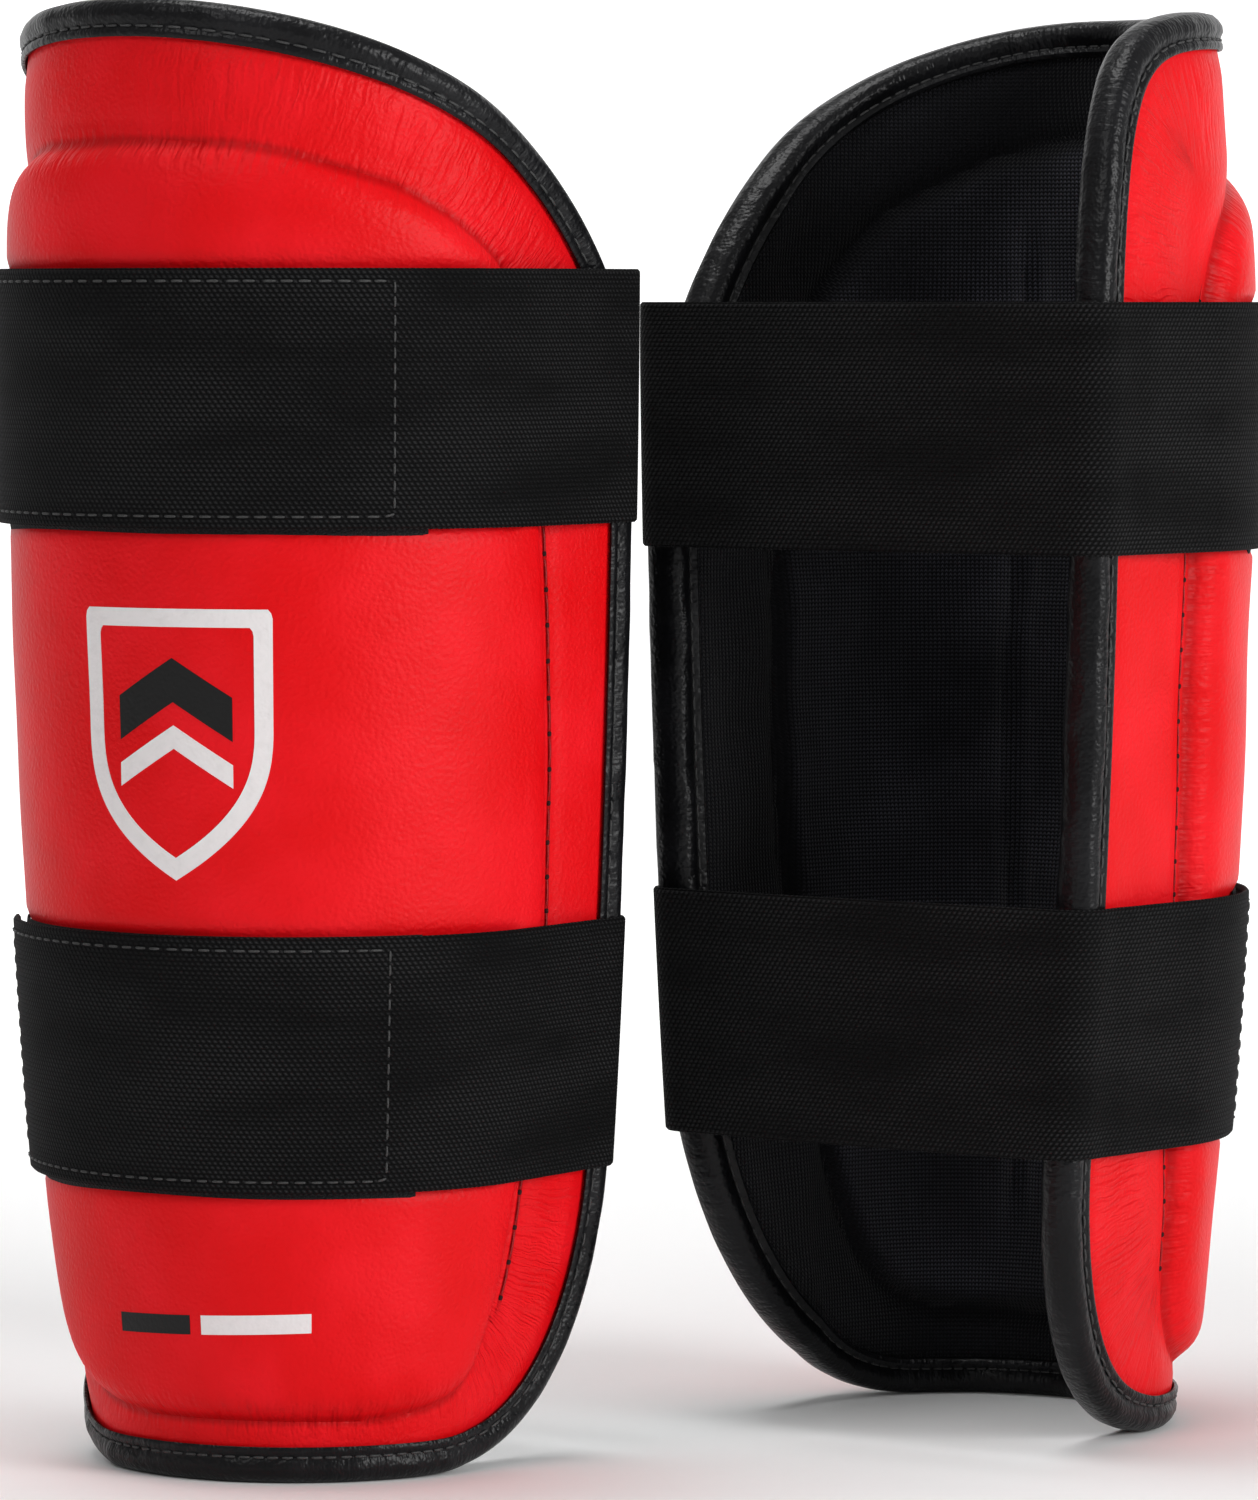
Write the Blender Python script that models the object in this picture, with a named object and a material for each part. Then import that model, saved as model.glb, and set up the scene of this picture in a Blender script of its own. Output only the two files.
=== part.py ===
"""A pair of padded youth shin guards: soft U-shaped shells with two elastic straps each.

Metres, +Z up. Each guard has its own frame, placed by an empty: the axis of its round front is the
empty's Z, the front faces -Y and the open back faces +Y. Its shell is worked out on a flat cut
sheet, with s along the sheet from the middle of the front (plus towards the outer wing, where the
straps close) and z up, and is then wrapped round the leg. Depth d is measured outwards from the
cover's flat border.
"""
import math
from collections import namedtuple

import bmesh
import bpy
from mathutils import Vector

PAIR_NAME = "shin_guards"

# The shell.
HEIGHT = 0.2885           # top of the front to the bottom edge
FRONT_RADIUS = 0.054      # of the round front at its widest, at the top
ANKLE_SCALE = 0.77        # the front's radius at the bottom, as a share of FRONT_RADIUS
TAPER_POWER = 2.5         # how late the radius shrinks on the way down
WING_LENGTH = 0.037       # the straight part behind the round front
WING_FLARE = math.radians(2.0)
QUARTER = FRONT_RADIUS * math.pi / 2
HALF_WIDTH = QUARTER + WING_LENGTH

# Layers, as depths from the cover's border face.
COVER_THICK = 0.0008
FOAM_THICK = 0.003
LINING_THICK = 0.0008
GAP = 0.0003
PAD_RISE = 0.006          # how far the front pad lifts the cover
INNER_RISE = 0.0025       # how far the cushion lifts the lining
PAD_HALF = 0.076          # the pad is full up to here
SEAM = 0.087              # and down to the border here, at the side seam
FOAM_TOP = -COVER_THICK - GAP
FOAM_BASE = FOAM_TOP - FOAM_THICK
LINING_TOP = FOAM_BASE - GAP
LINING_BASE = LINING_TOP - LINING_THICK

# The folded edge binding.
BIND_WIDTH = 0.007
BIND_THICK = 0.0008
BIND_GAP = 0.0004
SHEET_INSET = 0.0015      # how far the sheets' edges stay inside the binding's outer edge

# The elastic straps with their hook and loop patches.
STRAP_WIDTH = 0.050
STRAP_THICK = 0.0014
STRAP_END = 0.050         # the free end reaches this far past the middle of the front
PATCH_END = 0.062         # the patches run from STRAP_END on one side to here on the other
PATCH_THICK = 0.0008
LOOP_BASE = 0.0004
HOOK_BASE = LOOP_BASE + PATCH_THICK + GAP
STRAP_ON_HOOK = HOOK_BASE + PATCH_THICK + GAP
STRAP_CLEAR = 0.0004      # between the binding and the strap that lies on it
STRAP_ON_WING = BIND_GAP + BIND_THICK + STRAP_CLEAR
STRAP_STANDOFF = 0.003    # from the wings' edges to the strap's inner face across the back
ANCHOR_LENGTH = 0.030     # the sewn end on the inner wing
ANCHOR_STATION = 0.108    # a grid line of the shell under the anchor
LOOP_MARGIN = 0.0015      # how far the loop patch shows below the strap

TOLERANCE = 1e-6

# Grid lines that every layer shares, so that their facets stay parallel.
HALF_STATIONS = (0.0, 0.013, 0.026, 0.038, 0.050, 0.062, PAD_HALF, SEAM,
                 0.098, ANCHOR_STATION, 0.116, HALF_WIDTH)
LEVELS = (0.0, 0.06, 0.12, 0.30, 0.50, 0.70, 0.88, 0.94, 1.0)
STATIONS = tuple(-s for s in reversed(HALF_STATIONS[1:])) + HALF_STATIONS
PAD_LEVELS = (0.12, 0.88)
BORDER_LEVEL = 0.06

# How an edge leaves the level: a slow crown, then a round corner that starts at `flat`.
Corner = namedtuple("Corner", "crown drop flat power")
Guard = namedtuple("Guard", "name mirror x y turn outer_top inner_top outer_bottom inner_bottom straps")

GUARDS = (
    Guard("left", 1, -0.067228, -0.022396, math.radians(-38.5),
          Corner(0.042, 0.035, 0.0, 5.0), Corner(0.030, 0.050, 0.0, 5.0),
          Corner(0.0, 0.062, 0.070, 2.8), Corner(0.0, 0.090, 0.020, 1.7),
          {"upper": 0.2115, "lower": 0.083}),
    Guard("right", -1, 0.067272, 0.022604, math.radians(180.0 - 36.0),
          Corner(0.0, 0.075, 0.0, 10.0), Corner(0.052, 0.050, 0.0, 5.0),
          Corner(0.0, 0.062, 0.070, 2.8), Corner(0.0, 0.100, 0.060, 1.5),
          {"upper": 0.205, "lower": 0.085}),
)

# Base colour, roughness and metallic value of each material.
LOOKS = {
    "red_leather": ((0.66, 0.012, 0.016, 1.0), 0.42, 0.0),
    "foam": ((0.80, 0.79, 0.74, 1.0), 0.95, 0.0),
    "cushion_foam": ((0.62, 0.64, 0.66, 1.0), 0.95, 0.0),
    "lining_knit": ((0.012, 0.012, 0.016, 1.0), 0.90, 0.0),
    "black_leather": ((0.010, 0.010, 0.010, 1.0), 0.38, 0.0),
    "elastic": ((0.008, 0.008, 0.008, 1.0), 0.85, 0.0),
    "loop_tape": ((0.010, 0.010, 0.010, 1.0), 0.95, 0.0),
    "hook_tape": ((0.012, 0.012, 0.012, 1.0), 0.60, 0.0),
}


def clear_scene():
    """Remove every object from the scene."""
    for old in list(bpy.data.objects):
        bpy.data.objects.remove(old, do_unlink=True)


def make_materials():
    """Make one Principled material for each look."""
    made = {}
    for name, (colour, roughness, metallic) in LOOKS.items():
        material = bpy.data.materials.new(name)
        material.use_nodes = True
        shader = material.node_tree.nodes["Principled BSDF"]
        shader.inputs["Base Color"].default_value = colour
        shader.inputs["Roughness"].default_value = roughness
        shader.inputs["Metallic"].default_value = metallic
        material.diffuse_color = colour
        made[name] = material
    return made


def corner_depth(corner, s):
    """Distance of the edge from its level line at s."""
    share = abs(s) / HALF_WIDTH
    run = max(0.0, abs(s) - corner.flat) / (HALF_WIDTH - corner.flat)
    rounded = 1.0 - math.sqrt(max(0.0, 1.0 - run ** corner.power))
    return corner.crown * share ** 2 + corner.drop * rounded


def edge_heights(guard, s):
    """Lowest and highest z of the sheet at s."""
    low = corner_depth(guard.outer_bottom if s >= 0.0 else guard.inner_bottom, s)
    high = HEIGHT - corner_depth(guard.outer_top if s >= 0.0 else guard.inner_top, s)
    return low, high


def wrap(s, z, d):
    """A point of the flat sheet, wrapped round the leg and lifted outwards by d."""
    rise = min(1.0, max(0.0, z / HEIGHT))
    radius = FRONT_RADIUS * (ANKLE_SCALE + (1.0 - ANKLE_SCALE) * (1.0 - (1.0 - rise) ** TAPER_POWER))
    angle = min(abs(s), QUARTER) / FRONT_RADIUS
    past = max(0.0, abs(s) - QUARTER)
    x = (radius + d) * math.sin(angle) + past * math.sin(WING_FLARE)
    y = -(radius + d) * math.cos(angle) + past * math.cos(WING_FLARE)
    return Vector((math.copysign(x, s), y, z))


def sheet_points(guard):
    """The sheet's grid points as [column][row] pairs of s and z."""
    points = []
    for s in STATIONS:
        low, high = edge_heights(guard, s)
        points.append([(s, low + (high - low) * level) for level in LEVELS])
    return points


def edge_loop(points):
    """Grid indices round the sheet's edge, anticlockwise seen from outside."""
    last_col, last_row = len(points) - 1, len(points[0]) - 1
    bottom = [(i, 0) for i in range(last_col)]
    outer = [(last_col, j) for j in range(last_row)]
    top = [(i, last_row) for i in range(last_col, 0, -1)]
    inner = [(0, j) for j in range(last_row, 0, -1)]
    return bottom + outer + top + inner


def inward_normals(points):
    """Unit direction into the sheet at each point of its edge, by grid index."""
    loop = edge_loop(points)
    normals = {}
    for k, (i, j) in enumerate(loop):
        before = points[loop[k - 1][0]][loop[k - 1][1]]
        after_i, after_j = loop[(k + 1) % len(loop)]
        after = points[after_i][after_j]
        run = Vector((after[0] - before[0], after[1] - before[1])).normalized()
        normals[(i, j)] = Vector((-run.y, run.x))
    resting = [key for key in normals if key[1] == 0 and points[key[0]][0][1] < TOLERANCE]
    for key in resting:
        normals[key] = Vector((0.0, 1.0))
    return normals


def inset_points(points, distance):
    """The grid with its edge points moved inwards by a distance."""
    normals = inward_normals(points)
    moved = [list(column) for column in points]
    for (i, j), normal in normals.items():
        s, z = points[i][j]
        moved[i][j] = (s + normal.x * distance, z + normal.y * distance)
    return moved


def pad_share(s, level):
    """1 on the raised pad, 0 on the flat border, and a ramp between."""
    across = (SEAM - abs(s)) / (SEAM - PAD_HALF)
    along = (min(level, 1.0 - level) - BORDER_LEVEL) / (PAD_LEVELS[0] - BORDER_LEVEL)
    return min(1.0, max(0.0, across)) * min(1.0, max(0.0, along))


class Maker:
    """Adds the named solids of one guard to the collection."""

    def __init__(self, guard, collection, materials):
        """Keep the guard's description and make the empty that places it."""
        self.guard = guard
        self.collection = collection
        self.materials = materials
        self.root = self.add_empty("frame", Vector((0.0, 0.0, 0.0)), None)
        self.root.location = (guard.x, guard.y, 0.0)
        self.root.rotation_euler = (0.0, 0.0, guard.turn)

    def to_side(self, point):
        """Mirror a point for the guard of the other leg."""
        return Vector((point.x * self.guard.mirror, point.y, point.z))

    def add_empty(self, name, place, parent):
        """Add an empty that places or turns other objects."""
        empty = bpy.data.objects.new(f"{self.guard.name}_{name}", None)
        self.collection.objects.link(empty)
        empty.parent = parent
        empty.location = self.to_side(place)
        empty.empty_display_size = 0.02
        return empty

    def finish(self, name, bm, look, pivot=None):
        """Turn a bmesh in the guard's frame into an object that hangs on its pivot."""
        parent = pivot or self.root
        shift = self.to_side(Vector((0.0, 0.0, 0.0)))
        if pivot:
            shift = pivot.location
        for vert in bm.verts:
            vert.co = self.to_side(vert.co) - shift
        bmesh.ops.recalc_face_normals(bm, faces=bm.faces)
        if bm.calc_volume(signed=True) < 0.0:
            bmesh.ops.reverse_faces(bm, faces=bm.faces)
        mesh = bpy.data.meshes.new(f"{self.guard.name}_{name}")
        bm.to_mesh(mesh)
        bm.free()
        mesh.materials.append(self.materials[look])
        made = bpy.data.objects.new(f"{self.guard.name}_{name}", mesh)
        self.collection.objects.link(made)
        made.parent = parent
        return made

    def slab(self, name, columns, rows, lower, upper, look, pivot=None):
        """Extrude a grid into a slab and move its two faces onto lower(i, j) and upper(i, j)."""
        bm = bmesh.new()
        bmesh.ops.create_grid(bm, x_segments=columns, y_segments=rows, size=1.0)
        sheet = list(bm.faces)
        places = {lower: list(bm.verts)}
        made = bmesh.ops.extrude_face_region(bm, geom=sheet)["geom"]
        places[upper] = [item for item in made if isinstance(item, bmesh.types.BMVert)]
        for place, verts in places.items():
            for vert in verts:
                i = round((vert.co.x + 1.0) / 2.0 * columns)
                j = round((vert.co.y + 1.0) / 2.0 * rows)
                vert.co = place(i, j)
        return self.finish(name, bm, look, pivot)

    def layer(self, name, low, high, look, rise=0.0):
        """A full sheet between two depths, lifted by rise over the pad."""
        points = inset_points(sheet_points(self.guard), SHEET_INSET)

        def at(depth):
            def place(i, j):
                s, z = points[i][j]
                return wrap(s, z, depth + rise * pad_share(STATIONS[i], LEVELS[j]))
            return place
        return self.slab(name, len(STATIONS) - 1, len(LEVELS) - 1, at(low), at(high), look)

    def pad(self, name, low, high, look):
        """A foam piece that fills the raised pad between two depths."""
        points = sheet_points(self.guard)
        columns = [i for i, s in enumerate(STATIONS) if abs(s) <= PAD_HALF]
        rows = [j for j, level in enumerate(LEVELS) if PAD_LEVELS[0] <= level <= PAD_LEVELS[1]]

        def at(depth):
            def place(i, j):
                s, z = points[columns[i]][rows[j]]
                return wrap(s, z, depth)
            return place
        return self.slab(name, len(columns) - 1, len(rows) - 1, at(low), at(high), look)

    def binding(self):
        """The folded strip round the sheet's edge: a U section swept round the whole edge."""
        points = sheet_points(self.guard)
        loop = edge_loop(points)
        normals = inward_normals(points)
        face = BIND_GAP
        back = LINING_BASE - BIND_GAP
        inner_edge = SHEET_INSET - BIND_GAP
        section = (
            (0.0, face + BIND_THICK), (0.0, back - BIND_THICK),
            (BIND_WIDTH, back - BIND_THICK), (BIND_WIDTH, back),
            (inner_edge, back), (inner_edge, face),
            (BIND_WIDTH, face), (BIND_WIDTH, face + BIND_THICK),
        )
        bm = bmesh.new()
        bmesh.ops.create_grid(bm, x_segments=len(loop), y_segments=len(section), size=1.0)
        for vert in bm.verts:
            around = round((vert.co.x + 1.0) / 2.0 * len(loop)) % len(loop)
            corner = round((vert.co.y + 1.0) / 2.0 * len(section)) % len(section)
            i, j = loop[around]
            inset, depth = section[corner]
            s = points[i][j][0] + normals[(i, j)].x * inset
            z = points[i][j][1] + normals[(i, j)].y * inset
            vert.co = wrap(s, z, depth)
        bmesh.ops.remove_doubles(bm, verts=bm.verts, dist=TOLERANCE)
        return self.finish("edge_binding", bm, "black_leather")

    def patch(self, name, centre, half_height, drop, depth, look, pivot=None):
        """A piece of hook or loop tape on the front, between the strap's end and PATCH_END."""
        spans = [s for s in STATIONS if -STRAP_END - TOLERANCE <= s <= PATCH_END + TOLERANCE]
        heights = (centre - half_height - drop, centre, centre + half_height)

        def at(offset):
            def place(i, j):
                return wrap(spans[i], heights[j], PAD_RISE + offset)
            return place
        return self.slab(name, len(spans) - 1, 2, at(depth), at(depth + PATCH_THICK), look, pivot)

    def strap(self, label, centre):
        """One strap: sewn anchor, band across the back, and the tab that closes on the front."""
        heights = (centre - STRAP_WIDTH / 2, centre, centre + STRAP_WIDTH / 2)
        outer_face = STRAP_ON_WING + STRAP_THICK
        corner_s = HALF_WIDTH + STRAP_STANDOFF
        inner_corner = wrap(-corner_s, centre, outer_face)
        outer_corner = wrap(corner_s, centre, outer_face)
        inner_pivot = self.add_empty(f"{label}_inner_pivot", inner_corner, self.root)
        outer_pivot = self.add_empty(f"{label}_outer_pivot", outer_corner, self.root)

        def sheet(spans, base):
            def at(extra):
                def place(i, j):
                    s = spans[i]
                    rise = PAD_RISE * pad_share(s, 0.5)
                    return wrap(s, heights[j], rise + base(s) + extra)
                return place
            return at

        def tab_base(s):
            return STRAP_ON_HOOK if s <= PATCH_END + TOLERANCE else STRAP_ON_WING

        anchor_spans = (GAP - corner_s, -ANCHOR_STATION, ANCHOR_LENGTH - corner_s)
        anchor = sheet(anchor_spans, lambda s: STRAP_ON_WING)
        self.slab(f"{label}_strap_anchor", 2, 2, anchor(0.0), anchor(STRAP_THICK), "elastic")

        tab_spans = [s for s in STATIONS if -STRAP_END - TOLERANCE <= s < HALF_WIDTH - TOLERANCE]
        tab_spans.append(HALF_WIDTH + STRAP_STANDOFF - GAP)
        tab = sheet(tab_spans, tab_base)
        columns = len(tab_spans) - 1
        self.slab(f"{label}_strap_tab", columns, 2, tab(0.0), tab(STRAP_THICK), "elastic", outer_pivot)
        half = STRAP_WIDTH / 2
        self.patch(f"{label}_loop_patch", centre, half, LOOP_MARGIN, LOOP_BASE, "loop_tape")
        half -= LOOP_MARGIN
        self.patch(f"{label}_hook_patch", centre, half, 0.0, HOOK_BASE, "hook_tape", outer_pivot)

        def band(extra):
            def place(i, j):
                end = wrap(corner_s if i else -corner_s, heights[j], outer_face)
                return end + Vector((0.0, extra, 0.0))
            return place
        self.slab(f"{label}_strap_band", 1, 2, band(0.0), band(STRAP_THICK), "elastic", inner_pivot)

    def build(self):
        """Add every solid of the guard."""
        self.layer("cover", -COVER_THICK, 0.0, "red_leather", PAD_RISE)
        self.pad("front_pad", FOAM_TOP + GAP, PAD_RISE - COVER_THICK - GAP, "foam")
        self.layer("base_foam", FOAM_BASE, FOAM_TOP, "foam")
        self.pad("calf_cushion", LINING_TOP - INNER_RISE + GAP, LINING_TOP, "cushion_foam")
        self.layer("lining", LINING_BASE, LINING_TOP, "lining_knit", -INNER_RISE)
        self.binding()
        for label, centre in self.guard.straps.items():
            self.strap(label, centre)


def main():
    """Build both guards."""
    clear_scene()
    collection = bpy.data.collections.new(PAIR_NAME)
    bpy.context.scene.collection.children.link(collection)
    materials = make_materials()
    for guard in GUARDS:
        Maker(guard, collection, materials).build()


main()
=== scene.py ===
"""Detailed visual model of a pair of padded youth shin guards, on their fixed CAD frame.

Metres, +Z up. Each guard's shell is worked out on a flat cut sheet: s runs along the sheet from the
middle of the front (plus towards the outer wing, where the straps close), z runs up, and d is the
depth outwards from the cover's flat border. Sheet.local() wraps that sheet round the leg.
"""
import logging
import math
from dataclasses import dataclass
from enum import Enum
from typing import Callable

import bpy
import numpy as np
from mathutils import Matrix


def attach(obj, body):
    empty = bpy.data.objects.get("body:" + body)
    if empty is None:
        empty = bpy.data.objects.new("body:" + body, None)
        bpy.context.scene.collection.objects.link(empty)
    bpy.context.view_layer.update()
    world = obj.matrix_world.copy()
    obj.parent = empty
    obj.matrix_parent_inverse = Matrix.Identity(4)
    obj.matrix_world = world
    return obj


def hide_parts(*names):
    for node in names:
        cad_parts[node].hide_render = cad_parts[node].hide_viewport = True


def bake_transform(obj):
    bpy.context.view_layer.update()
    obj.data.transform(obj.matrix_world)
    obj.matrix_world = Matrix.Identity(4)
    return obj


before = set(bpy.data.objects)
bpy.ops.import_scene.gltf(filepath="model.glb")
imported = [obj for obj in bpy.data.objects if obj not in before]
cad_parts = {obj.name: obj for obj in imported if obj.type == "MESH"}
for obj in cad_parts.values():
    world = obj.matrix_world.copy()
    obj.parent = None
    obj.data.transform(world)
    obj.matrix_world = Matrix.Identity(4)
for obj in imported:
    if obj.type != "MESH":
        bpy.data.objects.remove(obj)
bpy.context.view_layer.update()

LOG = logging.getLogger("shin_guards")

# The shell's form, as in the CAD.
HEIGHT = 0.2885
FRONT_RADIUS = 0.054
ANKLE_SCALE = 0.77
TAPER_POWER = 2.5
WING_LENGTH = 0.037
WING_FLARE = math.radians(2.0)
QUARTER = FRONT_RADIUS * math.pi / 2
HALF_WIDTH = QUARTER + WING_LENGTH
LEAN_START = 0.215        # above this a guard's top may lean in towards the leg
LINING_TOP = -0.0044
LINING_BASE = -0.0052

# The straps, as in the CAD.
STRAP_WIDTH = 0.050
STRAP_THICK = 0.0014
STRAP_END = 0.050
STRAP_ROUND = 0.0007      # how far in a strap's edge is rounded off
BAND_SAG = 0.0010         # how far a band stands out at the middle of the back
PATCH_STACK = 0.0020      # both patches together, with a little air
FLOOR_REACH = 0.112       # where a strap has come down from the pad in a soft curve
FLOOR_LINE = (0.084, 0.118)   # between these it also comes down in a straight line
FLOOR_SOFT = 0.35         # the soft curve's share of the way down
PATCH_END = 0.062
PATCH_THICK = 0.0008
STRAP_ON_WING = 0.0017
STRAP_STANDOFF = 0.0012
ANCHOR_LENGTH = 0.030
LOOP_MARGIN = 0.0015
CORNER_S = HALF_WIDTH + STRAP_STANDOFF
PAD_FACE = 0.0042         # how far the pad lifts the patches, where a strap presses it down
PRESS = 0.0012            # how deep a strap presses
SEAM_OFFSET = -0.0024     # the side seams' place beside the pad's crease
HINGE_RUN = 0.004         # how far along the wing a hinge's second point lies from the strap's bend

# Sampling.
LINE_STEP = 0.001
SHELL_COLUMNS = 216
SHELL_ROWS = 216
LINING_COLUMNS = 180
LINING_ROWS = 190

Array = np.ndarray


# ---------------------------------------------------------------- small numeric helpers

def smooth(low: float, high: float, x: Array) -> Array:
    """Rise softly from 0 at low to 1 at high; low may be the larger of the two."""
    t = np.clip((x - low) / (high - low), 0.0, 1.0)
    return t * t * (3.0 - 2.0 * t)


def bell(x: Array, width: float) -> Array:
    """A bump of height 1 at zero that fades out over a width."""
    return np.exp(-(x / width) ** 2)


def ripple(s: Array, z: Array, seed: int, waves: int = 9, short: float = 0.022, long: float = 0.08) -> Array:
    """A slow random waviness of about unit size, as a sum of sines with fixed seeds.

    Args:
        s: Places along the sheet.
        z: Heights.
        seed: Which pattern.
        waves: How many sines are added.
        short: The shortest wavelength.
        long: The longest wavelength.

    Returns:
        The waviness at each place.
    """
    draw = np.random.default_rng(seed)
    total = np.zeros(np.broadcast(s, z).shape)
    for angle, length, phase in zip(
        draw.uniform(0.0, math.pi, waves), draw.uniform(short, long, waves), draw.uniform(0.0, 6.28, waves)
    ):
        total += np.sin(2.0 * math.pi * (s * math.cos(angle) + z * math.sin(angle)) / length + phase)
    return total / math.sqrt(waves / 2.0)


def resample(line: Array, step: float, closed: bool) -> Array:
    """Put points at even spacing along a line.

    Args:
        line: (n, 2) points.
        step: The wanted spacing.
        closed: Whether the last point joins the first.

    Returns:
        (m, 2) evenly spaced points, without a repeated end point on a closed line.
    """
    if closed:
        line = np.vstack([line, line[:1]])
    lengths = run_of(line)
    count = max(2, round(lengths[-1] / step))
    at = np.linspace(0.0, lengths[-1], count + (1 if closed else 0))
    if closed:
        at = at[:-1]
    return np.stack([np.interp(at, lengths, line[:, k]) for k in range(2)], axis=1)


def run_of(line: Array) -> Array:
    """Length along a line at each of its points."""
    return np.concatenate([[0.0], np.cumsum(np.linalg.norm(np.diff(line, axis=0), axis=1))])


def rounded(points: Array, passes: int) -> Array:
    """Average each point of a closed line with its neighbours a number of times."""
    for _ in range(passes):
        points = (np.roll(points, 1, 0) + 2.0 * points + np.roll(points, -1, 0)) / 4.0
    return points


def frame_of(line: Array) -> tuple[Array, Array]:
    """Unit tangents and left-hand normals of a closed line."""
    tangent = rounded(np.roll(line, -2, 0) - np.roll(line, 2, 0), 3)
    tangent /= np.linalg.norm(tangent, axis=1)[:, None]
    return tangent, np.stack([-tangent[:, 1], tangent[:, 0]], axis=1)


def nearest(points: Array, line: Array) -> tuple[Array, Array]:
    """Where each point lies beside a closed line.

    Args:
        points: (n, 2) points.
        line: (m, 2) evenly spaced points, anticlockwise.

    Returns:
        The distance along the line, and the distance inside it (negative outside).
    """
    tangent, normal = frame_of(line)
    step = float(np.linalg.norm(line[1] - line[0]))
    found = np.concatenate([
        np.argmin(((part[:, None, :] - line[None, :, :]) ** 2).sum(-1), axis=1)
        for part in np.array_split(points, max(1, len(points) // 4000))
    ])
    offset = points - line[found]
    along = found * step + (offset * tangent[found]).sum(1)
    side = np.sign((offset * normal[found]).sum(1))
    across = (offset * normal[found]).sum(1)
    away = np.where(np.abs(across) < 3.0 * step, across, side * np.linalg.norm(offset, axis=1))
    return along, away


# ---------------------------------------------------------------- meshes

@dataclass
class Lattice:
    """A tube of points: rings[i, k] is point k of ring i, and every ring closes on itself."""

    rings: Array
    maps: dict[str, Array]
    closed: bool = False

    def faces(self) -> tuple[Array, Array]:
        """Quads as vertex numbers, and as numbers in the maps, where a seam isn't shared."""
        count, around = self.rings.shape[:2]
        spans = count if self.closed else count - 1
        i, k = np.meshgrid(np.arange(spans), np.arange(around), indexing="ij")
        corners_i = np.stack([i, i + 1, i + 1, i], axis=-1).reshape(-1, 4)
        corners_k = np.stack([k, k, k + 1, k + 1], axis=-1).reshape(-1, 4)
        verts = (corners_i % count) * around + corners_k % around
        places = corners_i * (around + 1) + corners_k
        if self.closed:
            return verts, places
        half = np.arange(around // 2 - 1)
        cap = np.stack([half, half + 1, around - 2 - half, around - 1 - half], axis=1)
        last = count - 1
        verts = np.vstack([verts, cap, cap[:, ::-1] + last * around])
        places = np.vstack([places, cap, cap[:, ::-1] + last * (around + 1)])
        return verts, places

    def corner_maps(self) -> dict[str, Array]:
        """Each map with the seam's extra row (and column) repeated or carried on."""
        made = {}
        for name, grid in self.maps.items():
            if grid.shape[1] == self.rings.shape[1]:
                grid = np.concatenate([grid, grid[:, :1]], axis=1)
            if self.closed and grid.shape[0] == self.rings.shape[0]:
                grid = np.concatenate([grid, grid[:1]], axis=0)
            made[name] = grid
        return made


def signed_volume(verts: Array, quads: Array) -> float:
    """Volume of a closed quad mesh, negative where it is inside out."""
    a, b, c, d = (verts[quads[:, n]] for n in range(4))
    return float(((a * np.cross(b, c)).sum() + (a * np.cross(c, d)).sum()) / 6.0)


def make_object(name: str, verts: Array, quads: Array, loops: dict[str, Array],
                sharp: float) -> bpy.types.Object:
    """Make a closed mesh object whose faces point outwards.

    Args:
        name: The object's name.
        verts: (n, 3) points.
        quads: (m, 4) vertex numbers.
        loops: UV maps as (m, 4, 2) arrays.
        sharp: Edges over this angle stay sharp.

    Returns:
        The object, linked to the scene.
    """
    if signed_volume(verts, quads) < 0.0:
        quads = quads[:, ::-1]
        loops = {key: value[:, ::-1] for key, value in loops.items()}
    mesh = bpy.data.meshes.new(name)
    mesh.from_pydata(verts, [], quads.tolist())
    for key, value in loops.items():
        mesh.uv_layers.new(name=key).data.foreach_set("uv", np.ascontiguousarray(value, np.float32).ravel())
    mesh.polygons.foreach_set("use_smooth", np.ones(len(mesh.polygons), bool))
    mesh.set_sharp_from_angle(angle=sharp)
    mesh.update()
    made = bpy.data.objects.new(name, mesh)
    bpy.context.scene.collection.objects.link(made)
    return made


def tube(name: str, lattice: Lattice, sharp: float = math.radians(50.0)) -> bpy.types.Object:
    """Make an object from a lattice."""
    verts, places = lattice.faces()
    loops = {key: grid.reshape(-1, 2)[places] for key, grid in lattice.corner_maps().items()}
    return make_object(name, lattice.rings.reshape(-1, 3), verts, loops, sharp)


def add_numbers(made: bpy.types.Object, name: str, values: Array) -> None:
    """Store one number for each vertex."""
    stored = made.data.attributes.new(name, "FLOAT", "POINT")
    stored.data.foreach_set("value", np.asarray(values, np.float32).ravel())


def dress(made: bpy.types.Object, look: bpy.types.Material, slot: str, body: str, *nodes: str) -> None:
    """Give a piece its material, hide the CAD nodes that it stands for, and let it ride on its body.

    Args:
        made: The piece.
        look: Its material.
        slot: The name of a material slot; not used.
        body: The body that it rides on, or nothing, where it stays unattached.
        nodes: The CAD nodes that it replaces.
    """
    made.data.materials.append(look)
    if nodes:
        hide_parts(*nodes)
    if body:
        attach(made, body)


# ---------------------------------------------------------------- shader graphs

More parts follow.
